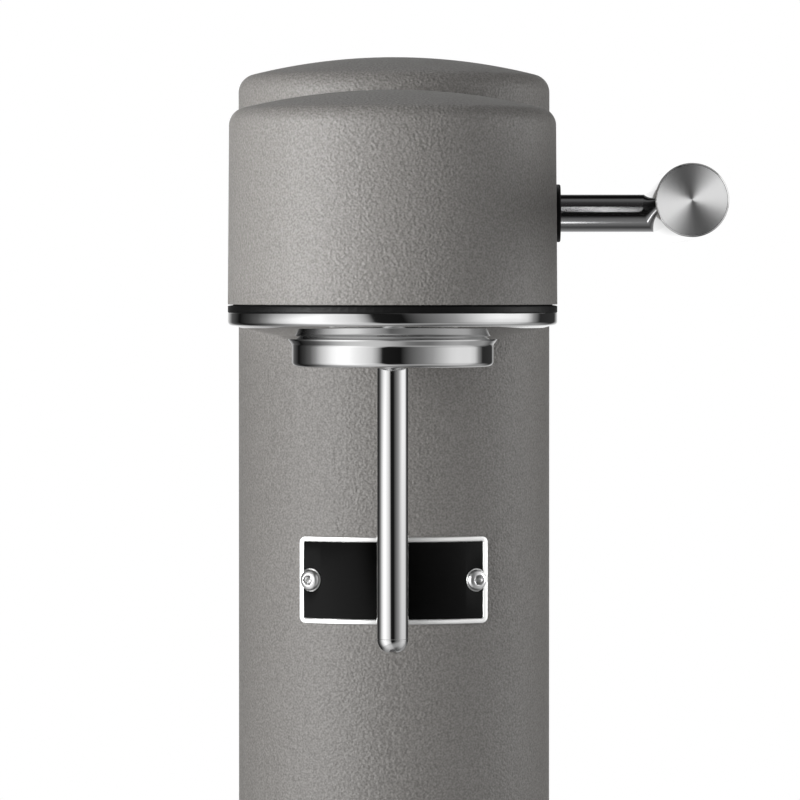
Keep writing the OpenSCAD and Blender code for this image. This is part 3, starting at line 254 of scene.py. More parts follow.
def new_group(name, inputs, outputs):
    """A shader node group with named inputs and outputs: (group, its input node, its output node)."""
    group = bpy.data.node_groups.new(name, "ShaderNodeTree")
    for label, default in inputs:
        kind = "NodeSocketVector" if default is None else "NodeSocketFloat"
        if isinstance(default, tuple):
            kind = "NodeSocketColor"
        socket = group.interface.new_socket(label, in_out="INPUT", socket_type=kind)
        if default is not None:
            socket.default_value = default
    for label, kind in outputs:
        group.interface.new_socket(label, in_out="OUTPUT", socket_type=kind)
    return group, group.nodes.new("NodeGroupInput"), group.nodes.new("NodeGroupOutput")


def noise(tree, vector, scale, detail, roughness=0.5):
    """A Noise texture; scale is a number or a socket."""
    node = tree.nodes.new("ShaderNodeTexNoise")
    tree.links.new(vector, node.inputs["Vector"])
    if isinstance(scale, (int, float)):
        node.inputs["Scale"].default_value = scale
    else:
        tree.links.new(scale, node.inputs["Scale"])
    node.inputs["Detail"].default_value = detail
    node.inputs["Roughness"].default_value = roughness
    return node.outputs["Fac"]


def tone_between(tree, factor, ends):
    """Mixes the group's Dark and Light colours."""
    node = tree.nodes.new("ShaderNodeMix")
    node.data_type = "RGBA"
    tree.links.new(factor, node.inputs["Factor"])
    tree.links.new(ends.outputs["Dark"], node.inputs[6])
    tree.links.new(ends.outputs["Light"], node.inputs[7])
    return node.outputs[2]


# Mottle: one noise gives a tone that changes slowly over the surface and a roughness with it
mottle, mottle_in, mottle_out = new_group(
    "mottle",
    [("Vector", None), ("Scale", 60.0), ("Dark", (0, 0, 0, 1)), ("Light", (1, 1, 1, 1)),
     ("Smoothest", 0.3), ("Roughest", 0.5)],
    [("Color", "NodeSocketColor"), ("Roughness", "NodeSocketFloat")],
)
patches = noise(mottle, mottle_in.outputs["Vector"], mottle_in.outputs["Scale"], detail=3, roughness=0.55)
mottle.links.new(tone_between(mottle, patches, mottle_in), mottle_out.inputs["Color"])
mottle_range = mottle.nodes.new("ShaderNodeMapRange")
mottle.links.new(patches, mottle_range.inputs["Value"])
mottle.links.new(mottle_in.outputs["Smoothest"], mottle_range.inputs["To Min"])
mottle.links.new(mottle_in.outputs["Roughest"], mottle_range.inputs["To Max"])
mottle.links.new(mottle_range.outputs["Result"], mottle_out.inputs["Roughness"])

# Grain: a fine relief of an even cell size, for rubber, moulded plastic and cast metal
grain, grain_in, grain_out = new_group(
    "grain", [("Vector", None), ("Scale", 2000.0)], [("Height", "NodeSocketFloat")]
)
grain.links.new(
    noise(grain, grain_in.outputs["Vector"], grain_in.outputs["Scale"], detail=2, roughness=0.6),
    grain_out.inputs["Height"],
)


def use_group(tree, group, **values):
    """Places a node group; each value is a socket, a number or a colour."""
    node = tree.nodes.new("ShaderNodeGroup")
    node.node_tree = group
    for label, value in values.items():
        if isinstance(value, (int, float, tuple)):
            node.inputs[label].default_value = value
        else:
            tree.links.new(value, node.inputs[label])
    return node


def relief(tree, shader, height, depth):
    """Feeds a height through a Bump node to the shader's normal; depth is in metres."""
    bump = tree.nodes.new("ShaderNodeBump")
    bump.inputs["Strength"].default_value = 1
    bump.inputs["Distance"].default_value = depth
    tree.links.new(height, bump.inputs["Height"])
    tree.links.new(bump.outputs[0], shader.inputs["Normal"])


def mottled(name, dark, light, smoothest, roughest, patch, cell, depth, metallic=0.0):
    """A finish with slow patches of tone and roughness over a fine grain; sizes in metres."""
    material, shader, place = finish(name, light, roughest, metallic)
    tree = material.node_tree
    tone = use_group(tree, mottle, Vector=place, Scale=1 / patch, Dark=(*dark, 1), Light=(*light, 1),
                     Smoothest=smoothest, Roughest=roughest)
    tree.links.new(tone.outputs["Color"], shader.inputs["Base Color"])
    tree.links.new(tone.outputs["Roughness"], shader.inputs["Roughness"])
    fine = use_group(tree, grain, Vector=place, Scale=1 / cell)
    relief(tree, shader, fine.outputs["Height"], depth)
    return material, shader


def dress(material, *names):
    """Gives CAD nodes a material."""
    for name in names:
        data = nodes[name].data
        data.materials.clear()
        data.materials.append(material)


sole_rubber, _ = mottled(
    "sole_rubber", dark=(0.012, 0.012, 0.012), light=(0.03, 0.03, 0.03),
    smoothest=0.6, roughest=0.8, patch=20 * mm, cell=0.5 * mm, depth=0.06 * mm,
)
zinc, _ = mottled(
    "zinc_plate", dark=(0.36, 0.37, 0.39), light=(0.55, 0.56, 0.58),
    smoothest=0.28, roughest=0.42, patch=9 * mm, cell=0.4 * mm, depth=0.008 * mm, metallic=1.0,
)
dress(sole_rubber, "foot_sole")
matt_surfaces.objects.link(nodes["foot_sole"])
dress(zinc, "base_pan", "base_screws", "spine_frame", "spine_screws", "head_frame",
      "trim_screws", "valve_screws", "rocker_arm", "rocker_pin", "lever_cam")

# Base casing
# A low steel casing under the column, with a rounded top edge. It is powder coated: a warm grey
# baked coat whose fine, even pebbling breaks up every highlight.
paint_dark = (0.185, 0.177, 0.168)
paint_light = (0.287, 0.276, 0.264)
pebble = 0.95 * mm
speck = 0.6 * mm
pebble_depth = 0.25 * mm
speck_share = 0.4
speck_shift = (0.3, 0.7, 0.5)
coat_roughness = 0.5
coat_gloss = 0.38
sharp_angle = radians(32)

peel, peel_in, peel_out = new_group(
    "pebbled_coat",
    [("Vector", None), ("Pebble", 1600.0), ("Speck", 3300.0), ("Dark", (0, 0, 0, 1)),
     ("Light", (1, 1, 1, 1))],
    [("Color", "NodeSocketColor"), ("Height", "NodeSocketFloat")],
)
pebbles = noise(peel, peel_in.outputs["Vector"], peel_in.outputs["Pebble"], detail=0)
aside = peel.nodes.new("ShaderNodeVectorMath")
aside.inputs[1].default_value = speck_shift
peel.links.new(peel_in.outputs["Vector"], aside.inputs[0])
specks = noise(peel, aside.outputs[0], peel_in.outputs["Speck"], detail=0)
peel_sum = math_node(peel, "MULTIPLY_ADD", specks, speck_share)
peel.links.new(pebbles, peel_sum.node.inputs[2])
peel.links.new(peel_sum, peel_out.inputs["Height"])
speck_tone = span(peel, specks, low=0.25, high=0.75)
peel.links.new(tone_between(peel, speck_tone, peel_in), peel_out.inputs["Color"])

powder_coat, coat_shader, coat_place = finish("powder_coat", paint_light, coat_roughness)
coat_shader.inputs["Specular IOR Level"].default_value = coat_gloss
coat_tree = powder_coat.node_tree
coat_peel = use_group(coat_tree, peel, Vector=coat_place, Pebble=1 / pebble, Speck=1 / speck,
                      Dark=(*paint_dark, 1), Light=(*paint_light, 1))
coat_tree.links.new(coat_peel.outputs["Color"], coat_shader.inputs["Base Color"])
relief(coat_tree, coat_shader, coat_peel.outputs["Height"], pebble_depth)


def solid(bm, name):
    """Closes a bmesh into an object: doubles merged, faces outwards, smooth up to the sharp angle."""
    bmesh.ops.remove_doubles(bm, verts=bm.verts[:], dist=0.002 * mm)
    bmesh.ops.dissolve_degenerate(bm, edges=bm.edges[:], dist=0.001 * mm)
    bmesh.ops.recalc_face_normals(bm, faces=bm.faces[:])
    data = bpy.data.meshes.new(name)
    bm.to_mesh(data)
    bm.free()
    data.shade_smooth()
    data.set_sharp_from_angle(angle=sharp_angle)
    piece = bpy.data.objects.new(name, data)
    bpy.context.scene.collection.objects.link(piece)
    return piece


def merged_copy(node):
    """A new piece from a CAD node's own surface, merged into one skin with smooth curves."""
    bm = bmesh.new()
    bm.from_mesh(nodes[node].data)
    return solid(bm, node + "_skin")


def stand_in(piece, material, *replaced):
    """The piece takes the place, the body and the finish of CAD nodes."""
    piece.data.materials.clear()
    piece.data.materials.append(material)
    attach(piece, body_of_node[replaced[0]])
    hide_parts(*replaced)


def matt(piece):
    """The lamps light this piece."""
    matt_surfaces.objects.link(piece)
    return piece


def rounded(piece, radius, angle=35):
    """Breaks a piece's edges sharper than an angle with a small radius."""
    bevel = piece.modifiers.new("edge_break", "BEVEL")
    bevel.width = radius
    bevel.segments = 2
    bevel.limit_method = "ANGLE"
    bevel.angle_limit = radians(angle)


stand_in(matt(merged_copy("base_shell")), powder_coat, "base_shell")

# Drip tray
# A pressed tray of brushed steel that lifts out of the base. Its rim is rolled over the edge of
# the recess, and its floor is swollen in the middle so that spills run to the side.


def round_wire(bm, corners):
    """A wire in the XZ plane through corners (x, z, radius), each rounded to its radius."""
    verts = [bm.verts.new((x, 0, z)) for x, z, _ in corners]
    for first, second in zip(verts, verts[1:]):
        bm.edges.new((first, second))
    spots = [Vector((x, z)) for x, z, _ in corners]
    for i in range(1, len(corners) - 1):
        radius = corners[i][2]
        if radius:
            opening = (spots[i - 1] - spots[i]).angle(spots[i + 1] - spots[i])
            bmesh.ops.bevel(
                bm, geom=[verts[i]], offset=radius / tan(opening / 2), offset_type="OFFSET",
                segments=max(2, ceil(degrees(pi - opening) / 11)), profile=0.5,
                affect="VERTICES", material=-1,
            )


def turn(bm, geom, centre, axis, angle, steps):
    """Spins geometry and returns what it ends as."""
    return bmesh.ops.spin(
        bm, geom=geom, cent=centre, axis=axis, dvec=(0, 0, 0), angle=angle, steps=steps,
        use_merge=abs(angle) > 1.99 * pi, use_normal_flip=False, use_duplicate=False,
    )["geom_last"]


def turned(name, corners, place=None, steps=128):
    """A solid of revolution about Z from a closed wire, then moved by a matrix."""
    bm = bmesh.new()
    round_wire(bm, corners)
    turn(bm, bm.verts[:] + bm.edges[:], (0, 0, 0), (0, 0, 1), 2 * pi, steps)
    if place is not None:
        bmesh.ops.transform(bm, matrix=place, verts=bm.verts[:])
    return solid(bm, name)


tray_low, tray_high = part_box("drip_tray")
tray_sheet = 0.9 * mm
tray_lap = 1.9 * mm
tray_heel = 2.7 * mm
tray_rim = tray_high.x
tray_wall = tray_rim - tray_lap
tray_inside = tray_wall - tray_sheet
tray_floor = tray_low.z + tray_sheet
under_rim = tray_high.z - tray_sheet
swell = 0.9 * mm
swell_edge = 0.5 * tray_wall
swell_foot = 0.62 * tray_wall
swell_edge_radius = 8 * mm
swell_foot_radius = 6 * mm
stroke_width = 0.35 * mm
stroke_depth = 0.01 * mm
stroke_share = 0.02
brushed, brushed_shader, brushed_place = finish(
    "brushed_steel", (0.62, 0.62, 0.63), roughness=0.3, metallic=1.0
)
brushed_tree = brushed.node_tree
stretch = brushed_tree.nodes.new("ShaderNodeMapping")
stretch.inputs["Scale"].default_value = (stroke_share, 1, 1)
brushed_tree.links.new(brushed_place, stretch.inputs["Vector"])
strokes = noise(brushed_tree, stretch.outputs[0], 1 / stroke_width, detail=3, roughness=0.6)
relief(brushed_tree, brushed_shader, strokes, stroke_depth)
tray = turned("tray_pressed", [
    (0, tray_low.z + swell, 0), (swell_edge, tray_low.z + swell, swell_edge_radius),
    (swell_foot, tray_low.z, swell_foot_radius), (tray_wall, tray_low.z, tray_heel),
    (tray_wall, under_rim, 0.1 * mm), (tray_rim, under_rim, 0.4 * mm),
    (tray_rim, tray_high.z, 0.45 * mm), (tray_inside, tray_high.z, 1 * mm),
    (tray_inside, tray_floor, tray_heel - tray_sheet), (swell_foot, tray_floor, swell_foot_radius),
    (swell_edge, tray_floor + swell, swell_edge_radius), (0, tray_floor + swell, 0),
])
stand_in(tray, brushed, "drip_tray")

# Column
# A deep drawn steel enclosure with a round front and back and a shallow domed crown. The front
# has a window behind the head, and it stands on the base.


def carry(bm, geom, distance, steps=1):
    """Extrudes a profile along Y in steps and returns what it ends as."""
    for _ in range(steps):
        edges = [g for g in geom if isinstance(g, bmesh.types.BMEdge)]
        grown = bmesh.ops.extrude_edge_only(bm, edges=edges)["geom"]
        verts = [g for g in grown if isinstance(g, bmesh.types.BMVert)]
        ends = set(verts)
        geom = verts + [
            g for g in grown
            if isinstance(g, bmesh.types.BMEdge) and g.verts[0] in ends and g.verts[1] in ends
        ]
        bmesh.ops.translate(bm, vec=(0, distance / steps, 0), verts=verts)
    return geom


def domed_wire(bm, foot_half, half, foot, top, crown, shoulder):
    """A domed half profile: over the crown, round the shoulder and down the wall to the foot."""
    shoulder_x = half - shoulder
    crown_z = top - crown
    shoulder_z = crown_z + sqrt((crown - shoulder) ** 2 - shoulder_x ** 2)
    crown_angle = asin(shoulder_x / (crown - shoulder))
    apex = bm.verts.new((0, 0, top))
    last = turn(bm, [apex], (0, 0, crown_z), (0, 1, 0), crown_angle, steps=24)
    last = turn(bm, last, (shoulder_x, 0, shoulder_z), (0, 1, 0), pi / 2 - crown_angle, steps=14)
    wall_foot = bm.verts.new((foot_half, 0, foot))
    bm.edges.new((last[0], wall_foot))


def cut(piece, cutter):
    """Cuts a piece with another and removes the cutter."""
    boolean = piece.modifiers.new("cut", "BOOLEAN")
    boolean.operation = "DIFFERENCE"
    boolean.solver = "EXACT"
    boolean.object = cutter
    bpy.context.view_layer.update()
    shaped = bpy.data.meshes.new_from_object(
        piece.evaluated_get(bpy.context.evaluated_depsgraph_get())
    )
    piece.modifiers.clear()
    piece.data = shaped
    piece.data.set_sharp_from_angle(angle=sharp_angle)
    bpy.data.objects.remove(cutter)


def block(low, high):
    """A box between two corners, to cut with."""
    bm = bmesh.new()
    bmesh.ops.create_cube(bm, size=1)
    bmesh.ops.scale(bm, vec=Vector(high) - Vector(low), verts=bm.verts[:])
    bmesh.ops.translate(bm, vec=(Vector(high) + Vector(low)) / 2, verts=bm.verts[:])
    return solid(bm, "cutter")


along_x = Matrix.Rotation(pi / 2, 4, "Y")
along_y = Matrix.Rotation(-pi / 2, 4, "X")


def bar(radius, low, high, way, centre, segments=96):
    """A round bar between two places along an axis through a centre, to cut with."""
    bm = bmesh.new()
    bmesh.ops.create_cone(bm, cap_ends=True, segments=segments, radius1=radius, radius2=radius,
                          depth=high - low)
    bmesh.ops.translate(bm, vec=(0, 0, (low + high) / 2), verts=bm.verts[:])
    bmesh.ops.transform(bm, matrix=Matrix.Translation(centre) @ way, verts=bm.verts[:])
    return solid(bm, "cutter")


def walled(piece, thickness):
    """Gives a skin its wall, inwards."""
    wall = piece.modifiers.new("wall", "SOLIDIFY")
    wall.thickness = thickness
    wall.offset = -1
    wall.use_even_offset = True


column_low, column_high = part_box("column_shell")
head_low, head_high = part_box("head_shell")
sheet_wall = 1.5 * mm
column_crown = 190 * mm
column_shoulder = 6 * mm
column_half = column_high.x
column_front = column_low.y + column_half
column_rear = column_high.y - column_half
window_side = 4.6 * mm
window_half = column_half - window_side
window_foot = head_low.z + 0.75 * mm
window_height = 56 * mm
cutter_overrun = 2 * mm
column_bm = bmesh.new()
domed_wire(column_bm, column_half, column_half, column_low.z, column_high.z,
           column_crown, column_shoulder)
bmesh.ops.translate(column_bm, vec=(0, column_rear, 0), verts=column_bm.verts[:])
column_side = column_rear - column_front
side = carry(column_bm, column_bm.verts[:] + column_bm.edges[:], -column_side, steps=4)
side = turn(column_bm, side, (0, column_front, 0), (0, 0, 1), -pi, steps=72)
side = carry(column_bm, side, column_side, steps=4)
turn(column_bm, side, (0, column_rear, 0), (0, 0, 1), -pi, steps=72)
column = solid(column_bm, "column_skin")
walled(column, sheet_wall)
cut(column, block(
    (-window_half, column_low.y - cutter_overrun, window_foot),
    (window_half, column_front, window_foot + window_height),
))
stand_in(matt(column), powder_coat, "column_shell")

# Head
# A domed steel shell with a round front, drawn a little wider at its foot, whose open back is
# coped to the column. The lever's shaft comes out through a hole in its right side.
head_crown = 195 * mm
head_shoulder = 5.6 * mm
head_draft = 0.4 * mm
head_edge = 0.25 * mm
cope_play = 0.1 * mm
cope_radius = column_half + cope_play
long_side = 20 * mm
shaft_hole = 7.9 * mm
head_bm = bmesh.new()
domed_wire(head_bm, head_high.x, head_high.x - head_draft, head_low.z, head_high.z,
           head_crown, head_shoulder)
foot_edges = [e for e in head_bm.edges if min(v.co.z for v in e.verts) < head_low.z + head_draft]
bmesh.ops.subdivide_edges(head_bm, edges=foot_edges, cuts=8)
turn(head_bm, head_bm.verts[:] + head_bm.edges[:], (0, 0, 0), (0, 0, 1), -pi, steps=96)
back_edges = [e for e in head_bm.edges if max(abs(v.co.y) for v in e.verts) < 0.001 * mm]
grown = bmesh.ops.extrude_edge_only(head_bm, edges=back_edges)["geom"]
for vert in [g for g in grown if isinstance(g, bmesh.types.BMVert)]:
    across = min(abs(vert.co.x), cope_radius)
    vert.co.y = min(column_front - sqrt(cope_radius ** 2 - across ** 2), head_high.y)
long_edges = [e for e in head_bm.edges if abs(e.verts[0].co.y - e.verts[1].co.y) > long_side]
bmesh.ops.subdivide_edges(head_bm, edges=long_edges, cuts=10, use_grid_fill=True)
head = solid(head_bm, "head_skin")
walled(head, sheet_wall)
grommet_low, grommet_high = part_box("shaft_grommet")
shaft_y = (grommet_low.y + grommet_high.y) / 2
shaft_z = (grommet_low.z + grommet_high.z) / 2
cut(head, bar(shaft_hole, head_high.x - 2 * sheet_wall, head_high.x + cutter_overrun, along_x,
              (0, shaft_y, shaft_z), segments=64))
rounded(head, head_edge, angle=50)
stand_in(matt(head), powder_coat, "head_shell")

# Gasket
# A black moulded rubber gasket between the head and the trim plate, flush with both. A lip on
# it stands up inside the head, and the plate presses it home.
black_rubber, rubber_shader = mottled(
    "black_rubber", dark=(0.002, 0.002, 0.002), light=(0.006, 0.006, 0.006),
    smoothest=0.4, roughest=0.55, patch=12 * mm, cell=0.5 * mm, depth=0.03 * mm,
)
rubber_shader.inputs["Specular IOR Level"].default_value = 0.2
gasket_edge = 0.25 * mm
gasket = merged_copy("head_gasket")
rounded(gasket, gasket_edge)
stand_in(matt(gasket), black_rubber, "head_gasket")
dress(black_rubber, "valve_seal", "gas_hose")

# Trim plate
# A polished steel plate under the head: a rim with a rolled lower edge, and a shallow dish
# turned in its underside that leads down to the bottle cup.
smear_width = 14 * mm


def polished(name, colour, smoothest, roughest):
    """A polished metal with faint smears that change its gloss."""
    material, shader, place = finish(name, colour, smoothest, metallic=1.0)
    smears = use_group(material.node_tree, mottle, Vector=place, Scale=1 / smear_width,
                       Smoothest=smoothest, Roughest=roughest)
    material.node_tree.links.new(smears.outputs["Roughness"], shader.inputs["Roughness"])
    return material


polished_steel = polished("polished_steel", (0.9, 0.9, 0.9), smoothest=0.03, roughest=0.07)
trim_low, trim_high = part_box("trim_plate")
cup_low, cup_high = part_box("bottle_cup")
gasket_low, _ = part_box("head_gasket")
rim_depth = 4.1 * mm
rim_width = 8 * mm
rim_roll = 1.4 * mm
rim_edge = 0.25 * mm
rim_land = 1.7 * mm
neck_step = 2.3 * mm
rim_radius = head_high.x
rim_top = gasket_low.z
rim_bottom = rim_top - rim_depth
rim_end = trim_high.y
lip_z = trim_low.z
lip_radius = cup_high.x
neck_radius = lip_radius - neck_step
rim_bm = bmesh.new()
round_wire(rim_bm, [
    (rim_radius - rim_width, rim_top, 0), (rim_radius, rim_top, rim_edge),
    (rim_radius, rim_bottom, rim_roll), (rim_radius - rim_width, rim_bottom, 0),
])
bmesh.ops.translate(rim_bm, vec=(0, rim_end, 0), verts=rim_bm.verts[:])
side = carry(rim_bm, rim_bm.verts[:] + rim_bm.edges[:], -rim_end, steps=4)
side = turn(rim_bm, side, (0, 0, 0), (0, 0, 1), -pi, steps=96)
carry(rim_bm, side, rim_end, steps=4)
stand_in(solid(rim_bm, "trim_rim"), polished_steel, "trim_plate")
dish_radius = rim_radius - rim_land
dish_top = rim_top - 1 * mm
dish_back = dish_radius - 2 * mm
brow_radius = dish_radius - 2.3 * mm
brow_z = rim_bottom - 0.6 * mm
foot_radius = lip_radius + 3.2 * mm
foot_z = rim_bottom - 3.1 * mm
dish = turned("trim_dish", [
    (dish_back, dish_top, 0), (dish_radius, dish_top, 0.2 * mm),
    (dish_radius, rim_bottom + 0.1 * mm, 0.15 * mm), (brow_radius, brow_z, 2 * mm),
    (foot_radius, foot_z, 3 * mm), (lip_radius + 0.8 * mm, lip_z, 0.4 * mm),
    (neck_radius, lip_z, 0), (neck_radius, dish_top, 0.1 * mm), (dish_back, dish_top, 0),
])
# The dish is the rim's polished steel darkened to about half its colour: painted shade for the dim
# reflections under the head.
dish_steel_painted_shade = polished("dish_steel_painted_shade", (0.5, 0.5, 0.5), smoothest=0.04, roughest=0.09)
dish.data.materials.append(dish_steel_painted_shade)
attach(dish, "housing")

# Bottle cup
# A polished steel cup turned from bar, with a thin flared lip under the dish and a softly
# rounded lower edge. Its neck goes up into the trim plate.
lip_reach = 1.2 * mm
neck_play = 0.1 * mm
cup_wall = lip_radius - lip_reach
cup_neck = neck_radius - neck_play
mouth = 26.5 * mm
lower_roll = 1.6 * mm
flare_roll = 1.4 * mm
flare_height = 2 * mm
lip_under = lip_radius - 0.15 * mm
cup = turned("cup_turned", [
    (mouth, cup_high.z, 0), (mouth, cup_low.z, 0.4 * mm), (cup_wall, cup_low.z, lower_roll),
    (cup_wall, lip_z - flare_height, flare_roll), (lip_under, lip_z - 0.5 * mm, 0.2 * mm),
    (lip_radius, lip_z, 0.12 * mm), (cup_neck, lip_z, 0),
    (cup_neck, cup_high.z, 0.2 * mm), (mouth, cup_high.z, 0),
])
stand_in(cup, polished_steel, "bottle_cup")

# Collar and seal
# The black moulded collar inside the cup takes the bottle's lugs and hangs from the head's
# frame. The soft rubber ring in it seals the bottle's mouth.
black_plastic, _ = mottled(
    "black_plastic", dark=(0.012, 0.012, 0.012), light=(0.028, 0.028, 0.028),
    smoothest=0.38, roughest=0.52, patch=9 * mm, cell=0.35 * mm, depth=0.02 * mm,
)
dress(black_plastic, "bottle_collar", "nozzle_block", "cylinder_guide")
dress(black_rubber, "bottle_seal")

# Nozzle
# A polished steel tube that is stepped down where it goes up through the seal. The round tip is
# turned from steel and pressed into the tube, and has a small outlet at its bottom.
_, tube_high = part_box("nozzle_tube")
tip_low, tip_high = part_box("nozzle_tip")
tube_radius = tube_high.x
tip_top = tip_low.z + tube_radius
tube_wall = 0.8 * mm
spigot_step = 0.7 * mm
tube_bore = tube_radius - tube_wall
seal_low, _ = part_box("bottle_seal")
spigot_radius = tube_radius - spigot_step
spigot_bore = spigot_radius - tube_wall
tube = turned("nozzle_turned", [
    (tube_bore, tip_top, 0), (tube_radius, tip_top, 0.15 * mm),
    (tube_radius, seal_low.z, 0.1 * mm), (spigot_radius, seal_low.z, 0),
    (spigot_radius, tube_high.z, 0.1 * mm), (spigot_bore, tube_high.z, 0),
    (spigot_bore, seal_low.z - tube_wall, 0), (tube_bore, seal_low.z - tube_wall, 0),
    (tube_bore, tip_top, 0),
], steps=96)
stand_in(tube, polished_steel, "nozzle_tube")
satin_steel = polished("satin_steel", (0.9, 0.9, 0.9), smoothest=0.1, roughest=0.15)
jet = 0.85 * mm
jet_depth = 3 * mm
plug_play = 0.1 * mm
seam = 0.02 * mm
plug = tube_bore - plug_play
plug_bore = plug - tube_wall
tip_bm = bmesh.new()
jet_angle = asin(jet / tube_radius)
edge = tip_bm.verts.new((tube_radius, 0, tip_top))
end = turn(tip_bm, [edge], (0, 0, tip_top), (0, 1, 0), pi / 2 - jet_angle, steps=16)
tip_corners = [
    (jet, tip_top - jet_depth), (plug_bore, tip_top - jet_depth / 3), (plug_bore, tip_high.z),
    (plug, tip_high.z), (plug, tip_top + seam), (tube_radius, tip_top),
]
previous = end[0]
for x, z in tip_corners:
    following = tip_bm.verts.new((x, 0, z))
    tip_bm.edges.new((previous, following))
    previous = following
turn(tip_bm, tip_bm.verts[:] + tip_bm.edges[:], (0, 0, 0), (0, 0, 1), 2 * pi, steps=96)
stand_in(solid(tip_bm, "nozzle_tip_turned"), satin_steel, "nozzle_tip")

# Grommet
# A black moulded rubber grommet that lines the shaft's hole. Its groove holds it in the head's
# wall, with a flange inside and a proud one outside.
grommet_bore = 6.2 * mm
grommet_neck = 7.85 * mm
flange = (grommet_high.y - grommet_low.y) / 2
inner_flange = grommet_low.x + 1.5 * mm
draft_top = head_high.z - 6.5 * mm
side_share = (shaft_z - head_low.z) / (draft_top - head_low.z)
grommet_seat = head_high.x - head_draft * side_share
at_shaft = Matrix.Translation((0, shaft_y, shaft_z))
grommet = turned("grommet_moulded", [
    (grommet_bore, grommet_low.x, 0), (flange, grommet_low.x, 0.3 * mm),
    (flange, inner_flange, 0.2 * mm), (grommet_neck, inner_flange, 0),
    (grommet_neck, grommet_seat, 0), (flange, grommet_seat, 0.1 * mm),
    (flange, grommet_high.x, 0.5 * mm), (grommet_bore, grommet_high.x, 0.3 * mm),
    (grommet_bore, grommet_low.x, 0),
], at_shaft @ along_x, steps=64)
stand_in(matt(grommet), black_rubber, "shaft_grommet")

# Lever shaft
# A steel bar, ground and darkly plated, that turns in two brass bushes inside the head. The
# cross hole at its middle takes the pin that fixes the cam.
shaft_low, shaft_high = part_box("lever_shaft")
shaft_radius = (shaft_high.z - shaft_low.z) / 2
dark_plate = polished("dark_plate", (0.42, 0.42, 0.425), smoothest=0.11, roughest=0.17)
shaft = turned("shaft_ground", [
    (0, shaft_low.x, 0), (shaft_radius, shaft_low.x, 0.5 * mm), (shaft_radius, shaft_high.x, 0.3 * mm),
    (0, shaft_high.x, 0),
], at_shaft @ along_x, steps=96)
pin_hole = 1.55 * mm
pin_reach = 9 * mm
upright = Matrix.Identity(4)
cut(shaft, bar(pin_hole, -pin_reach, pin_reach, upright, (0, shaft_y, shaft_z), segments=24))
stand_in(shaft, dark_plate, "lever_shaft")
shaft_surface.objects.link(shaft)

# Handle
# A stout bar turned from steel and polished, bored on one side for the shaft. Its flat front
# face is left as turned: fine rings that throw light out in two fans.
handle_x = shaft_high.x
handle_rise = 2.4 * mm
handle_front = 64 * mm
handle_back = 9.5 * mm
front_radius = 11.3 * mm
back_radius = 11.5 * mm
back_edge = 1.6 * mm
front_edge = 0.45 * mm
face_depth = 0.2 * mm
face_play = 0.02 * mm
face_border = 0.55 * mm
face_radius = front_radius - face_border
face_edge = face_radius - face_play
handle_splay = radians(1.2)
handle_tilt = radians(0.8)
bore_play = 0.05 * mm
handle_bore = shaft_radius + bore_play
bore_start = 70 * mm
bore_end = handle_x + shaft_radius / 4
handle_turn = Matrix.Rotation(handle_splay, 4, "Z") @ Matrix.Rotation(pi / 2 - handle_tilt, 4, "X")
at_handle = Matrix.Translation((handle_x, shaft_y, shaft_z + handle_rise)) @ handle_turn
handle = turned("handle_turned", [
    (0, -handle_back, 0), (back_radius, -handle_back, back_edge),
    (front_radius, handle_front - front_edge, 0.2 * mm),
    (front_radius - front_edge, handle_front, 0.15 * mm),
    (face_radius, handle_front, 0), (face_radius, handle_front - face_depth, 0),
    (0, handle_front - face_depth, 0),
], at_handle)
cut(handle, bar(handle_bore, bore_start, bore_end, along_x, (0, shaft_y, shaft_z)))
stand_in(handle, polished_steel, "lever_handle")

face = turned("handle_face", [
    (0, handle_front - face_depth, 0), (face_edge, handle_front - face_depth, 0),
    (face_edge, handle_front - face_play, 0), (0, handle_front - face_play, 0),
], at_handle)
ring_pitch = 3.1 * mm
ring_depth = 0.004 * mm
turned_steel, turned_shader, turned_place = finish(
    "turned_steel", (0.92, 0.92, 0.92), roughness=0.48, metallic=1.0
)
turned_shader.inputs["Anisotropic"].default_value = 1
turned_shader.inputs["Anisotropic Rotation"].default_value = 0.25
turned_tree = turned_steel.node_tree
centred = turned_tree.nodes.new("ShaderNodeMapping")
centred.vector_type = "TEXTURE"
centred.inputs["Location"].default_value = at_handle @ Vector((0, 0, handle_front))
centred.inputs["Rotation"].default_value = handle_turn.to_euler()
turned_tree.links.new(turned_place, centred.inputs["Vector"])
rings = turned_tree.nodes.new("ShaderNodeTexWave")
rings.wave_type = "RINGS"
rings.rings_direction = "Z"
rings.inputs["Scale"].default_value = 1 / ring_pitch
rings.inputs["Distortion"].default_value = 0.6
rings.inputs["Detail"].default_value = 3
turned_tree.links.new(centred.outputs[0], rings.inputs["Vector"])
relief(turned_tree, turned_shader, rings.outputs["Fac"], ring_depth)
ring_tangent = turned_tree.nodes.new("ShaderNodeTangent")
ring_tangent.direction_type = "RADIAL"
ring_tangent.axis = "Y"
turned_tree.links.new(ring_tangent.outputs[0], turned_shader.inputs["Tangent"])
face.data.materials.append(turned_steel)
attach(face, "lever")
face_surface.objects.link(face)

# Badge
# A stamped plate curved to the column, bright satin with a rounded border and a bare field of
# black enamel, held by two button head screws with hexagonal sockets.
badge_low, badge_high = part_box("badge_plate")
badge_half = badge_high.x
badge_half_height = (badge_high.z - badge_low.z) / 2
badge_middle = (badge_high.z + badge_low.z) / 2
badge_thickness = 1.2 * mm
badge_border = 1.6 * mm
badge_corner = 2 * mm
badge_edge = 0.3 * mm
badge_play = 0.1 * mm
field_depth = 0.5 * mm
field_corner = badge_corner / 4
field_floor = badge_thickness - field_depth
enamel_thickness = 0.3 * mm
enamel_play = 0.05 * mm
enamel_edge = 0.08 * mm
# The lands are drawn smaller than the real ones, so the black enamel reaches close to each screw head:
# painted shade for the screw head's shadow and reflection round it.
land_radius = 3.7 * mm
land_reach = 4 * mm
screw_gap = 53.2 * mm
slices = 60


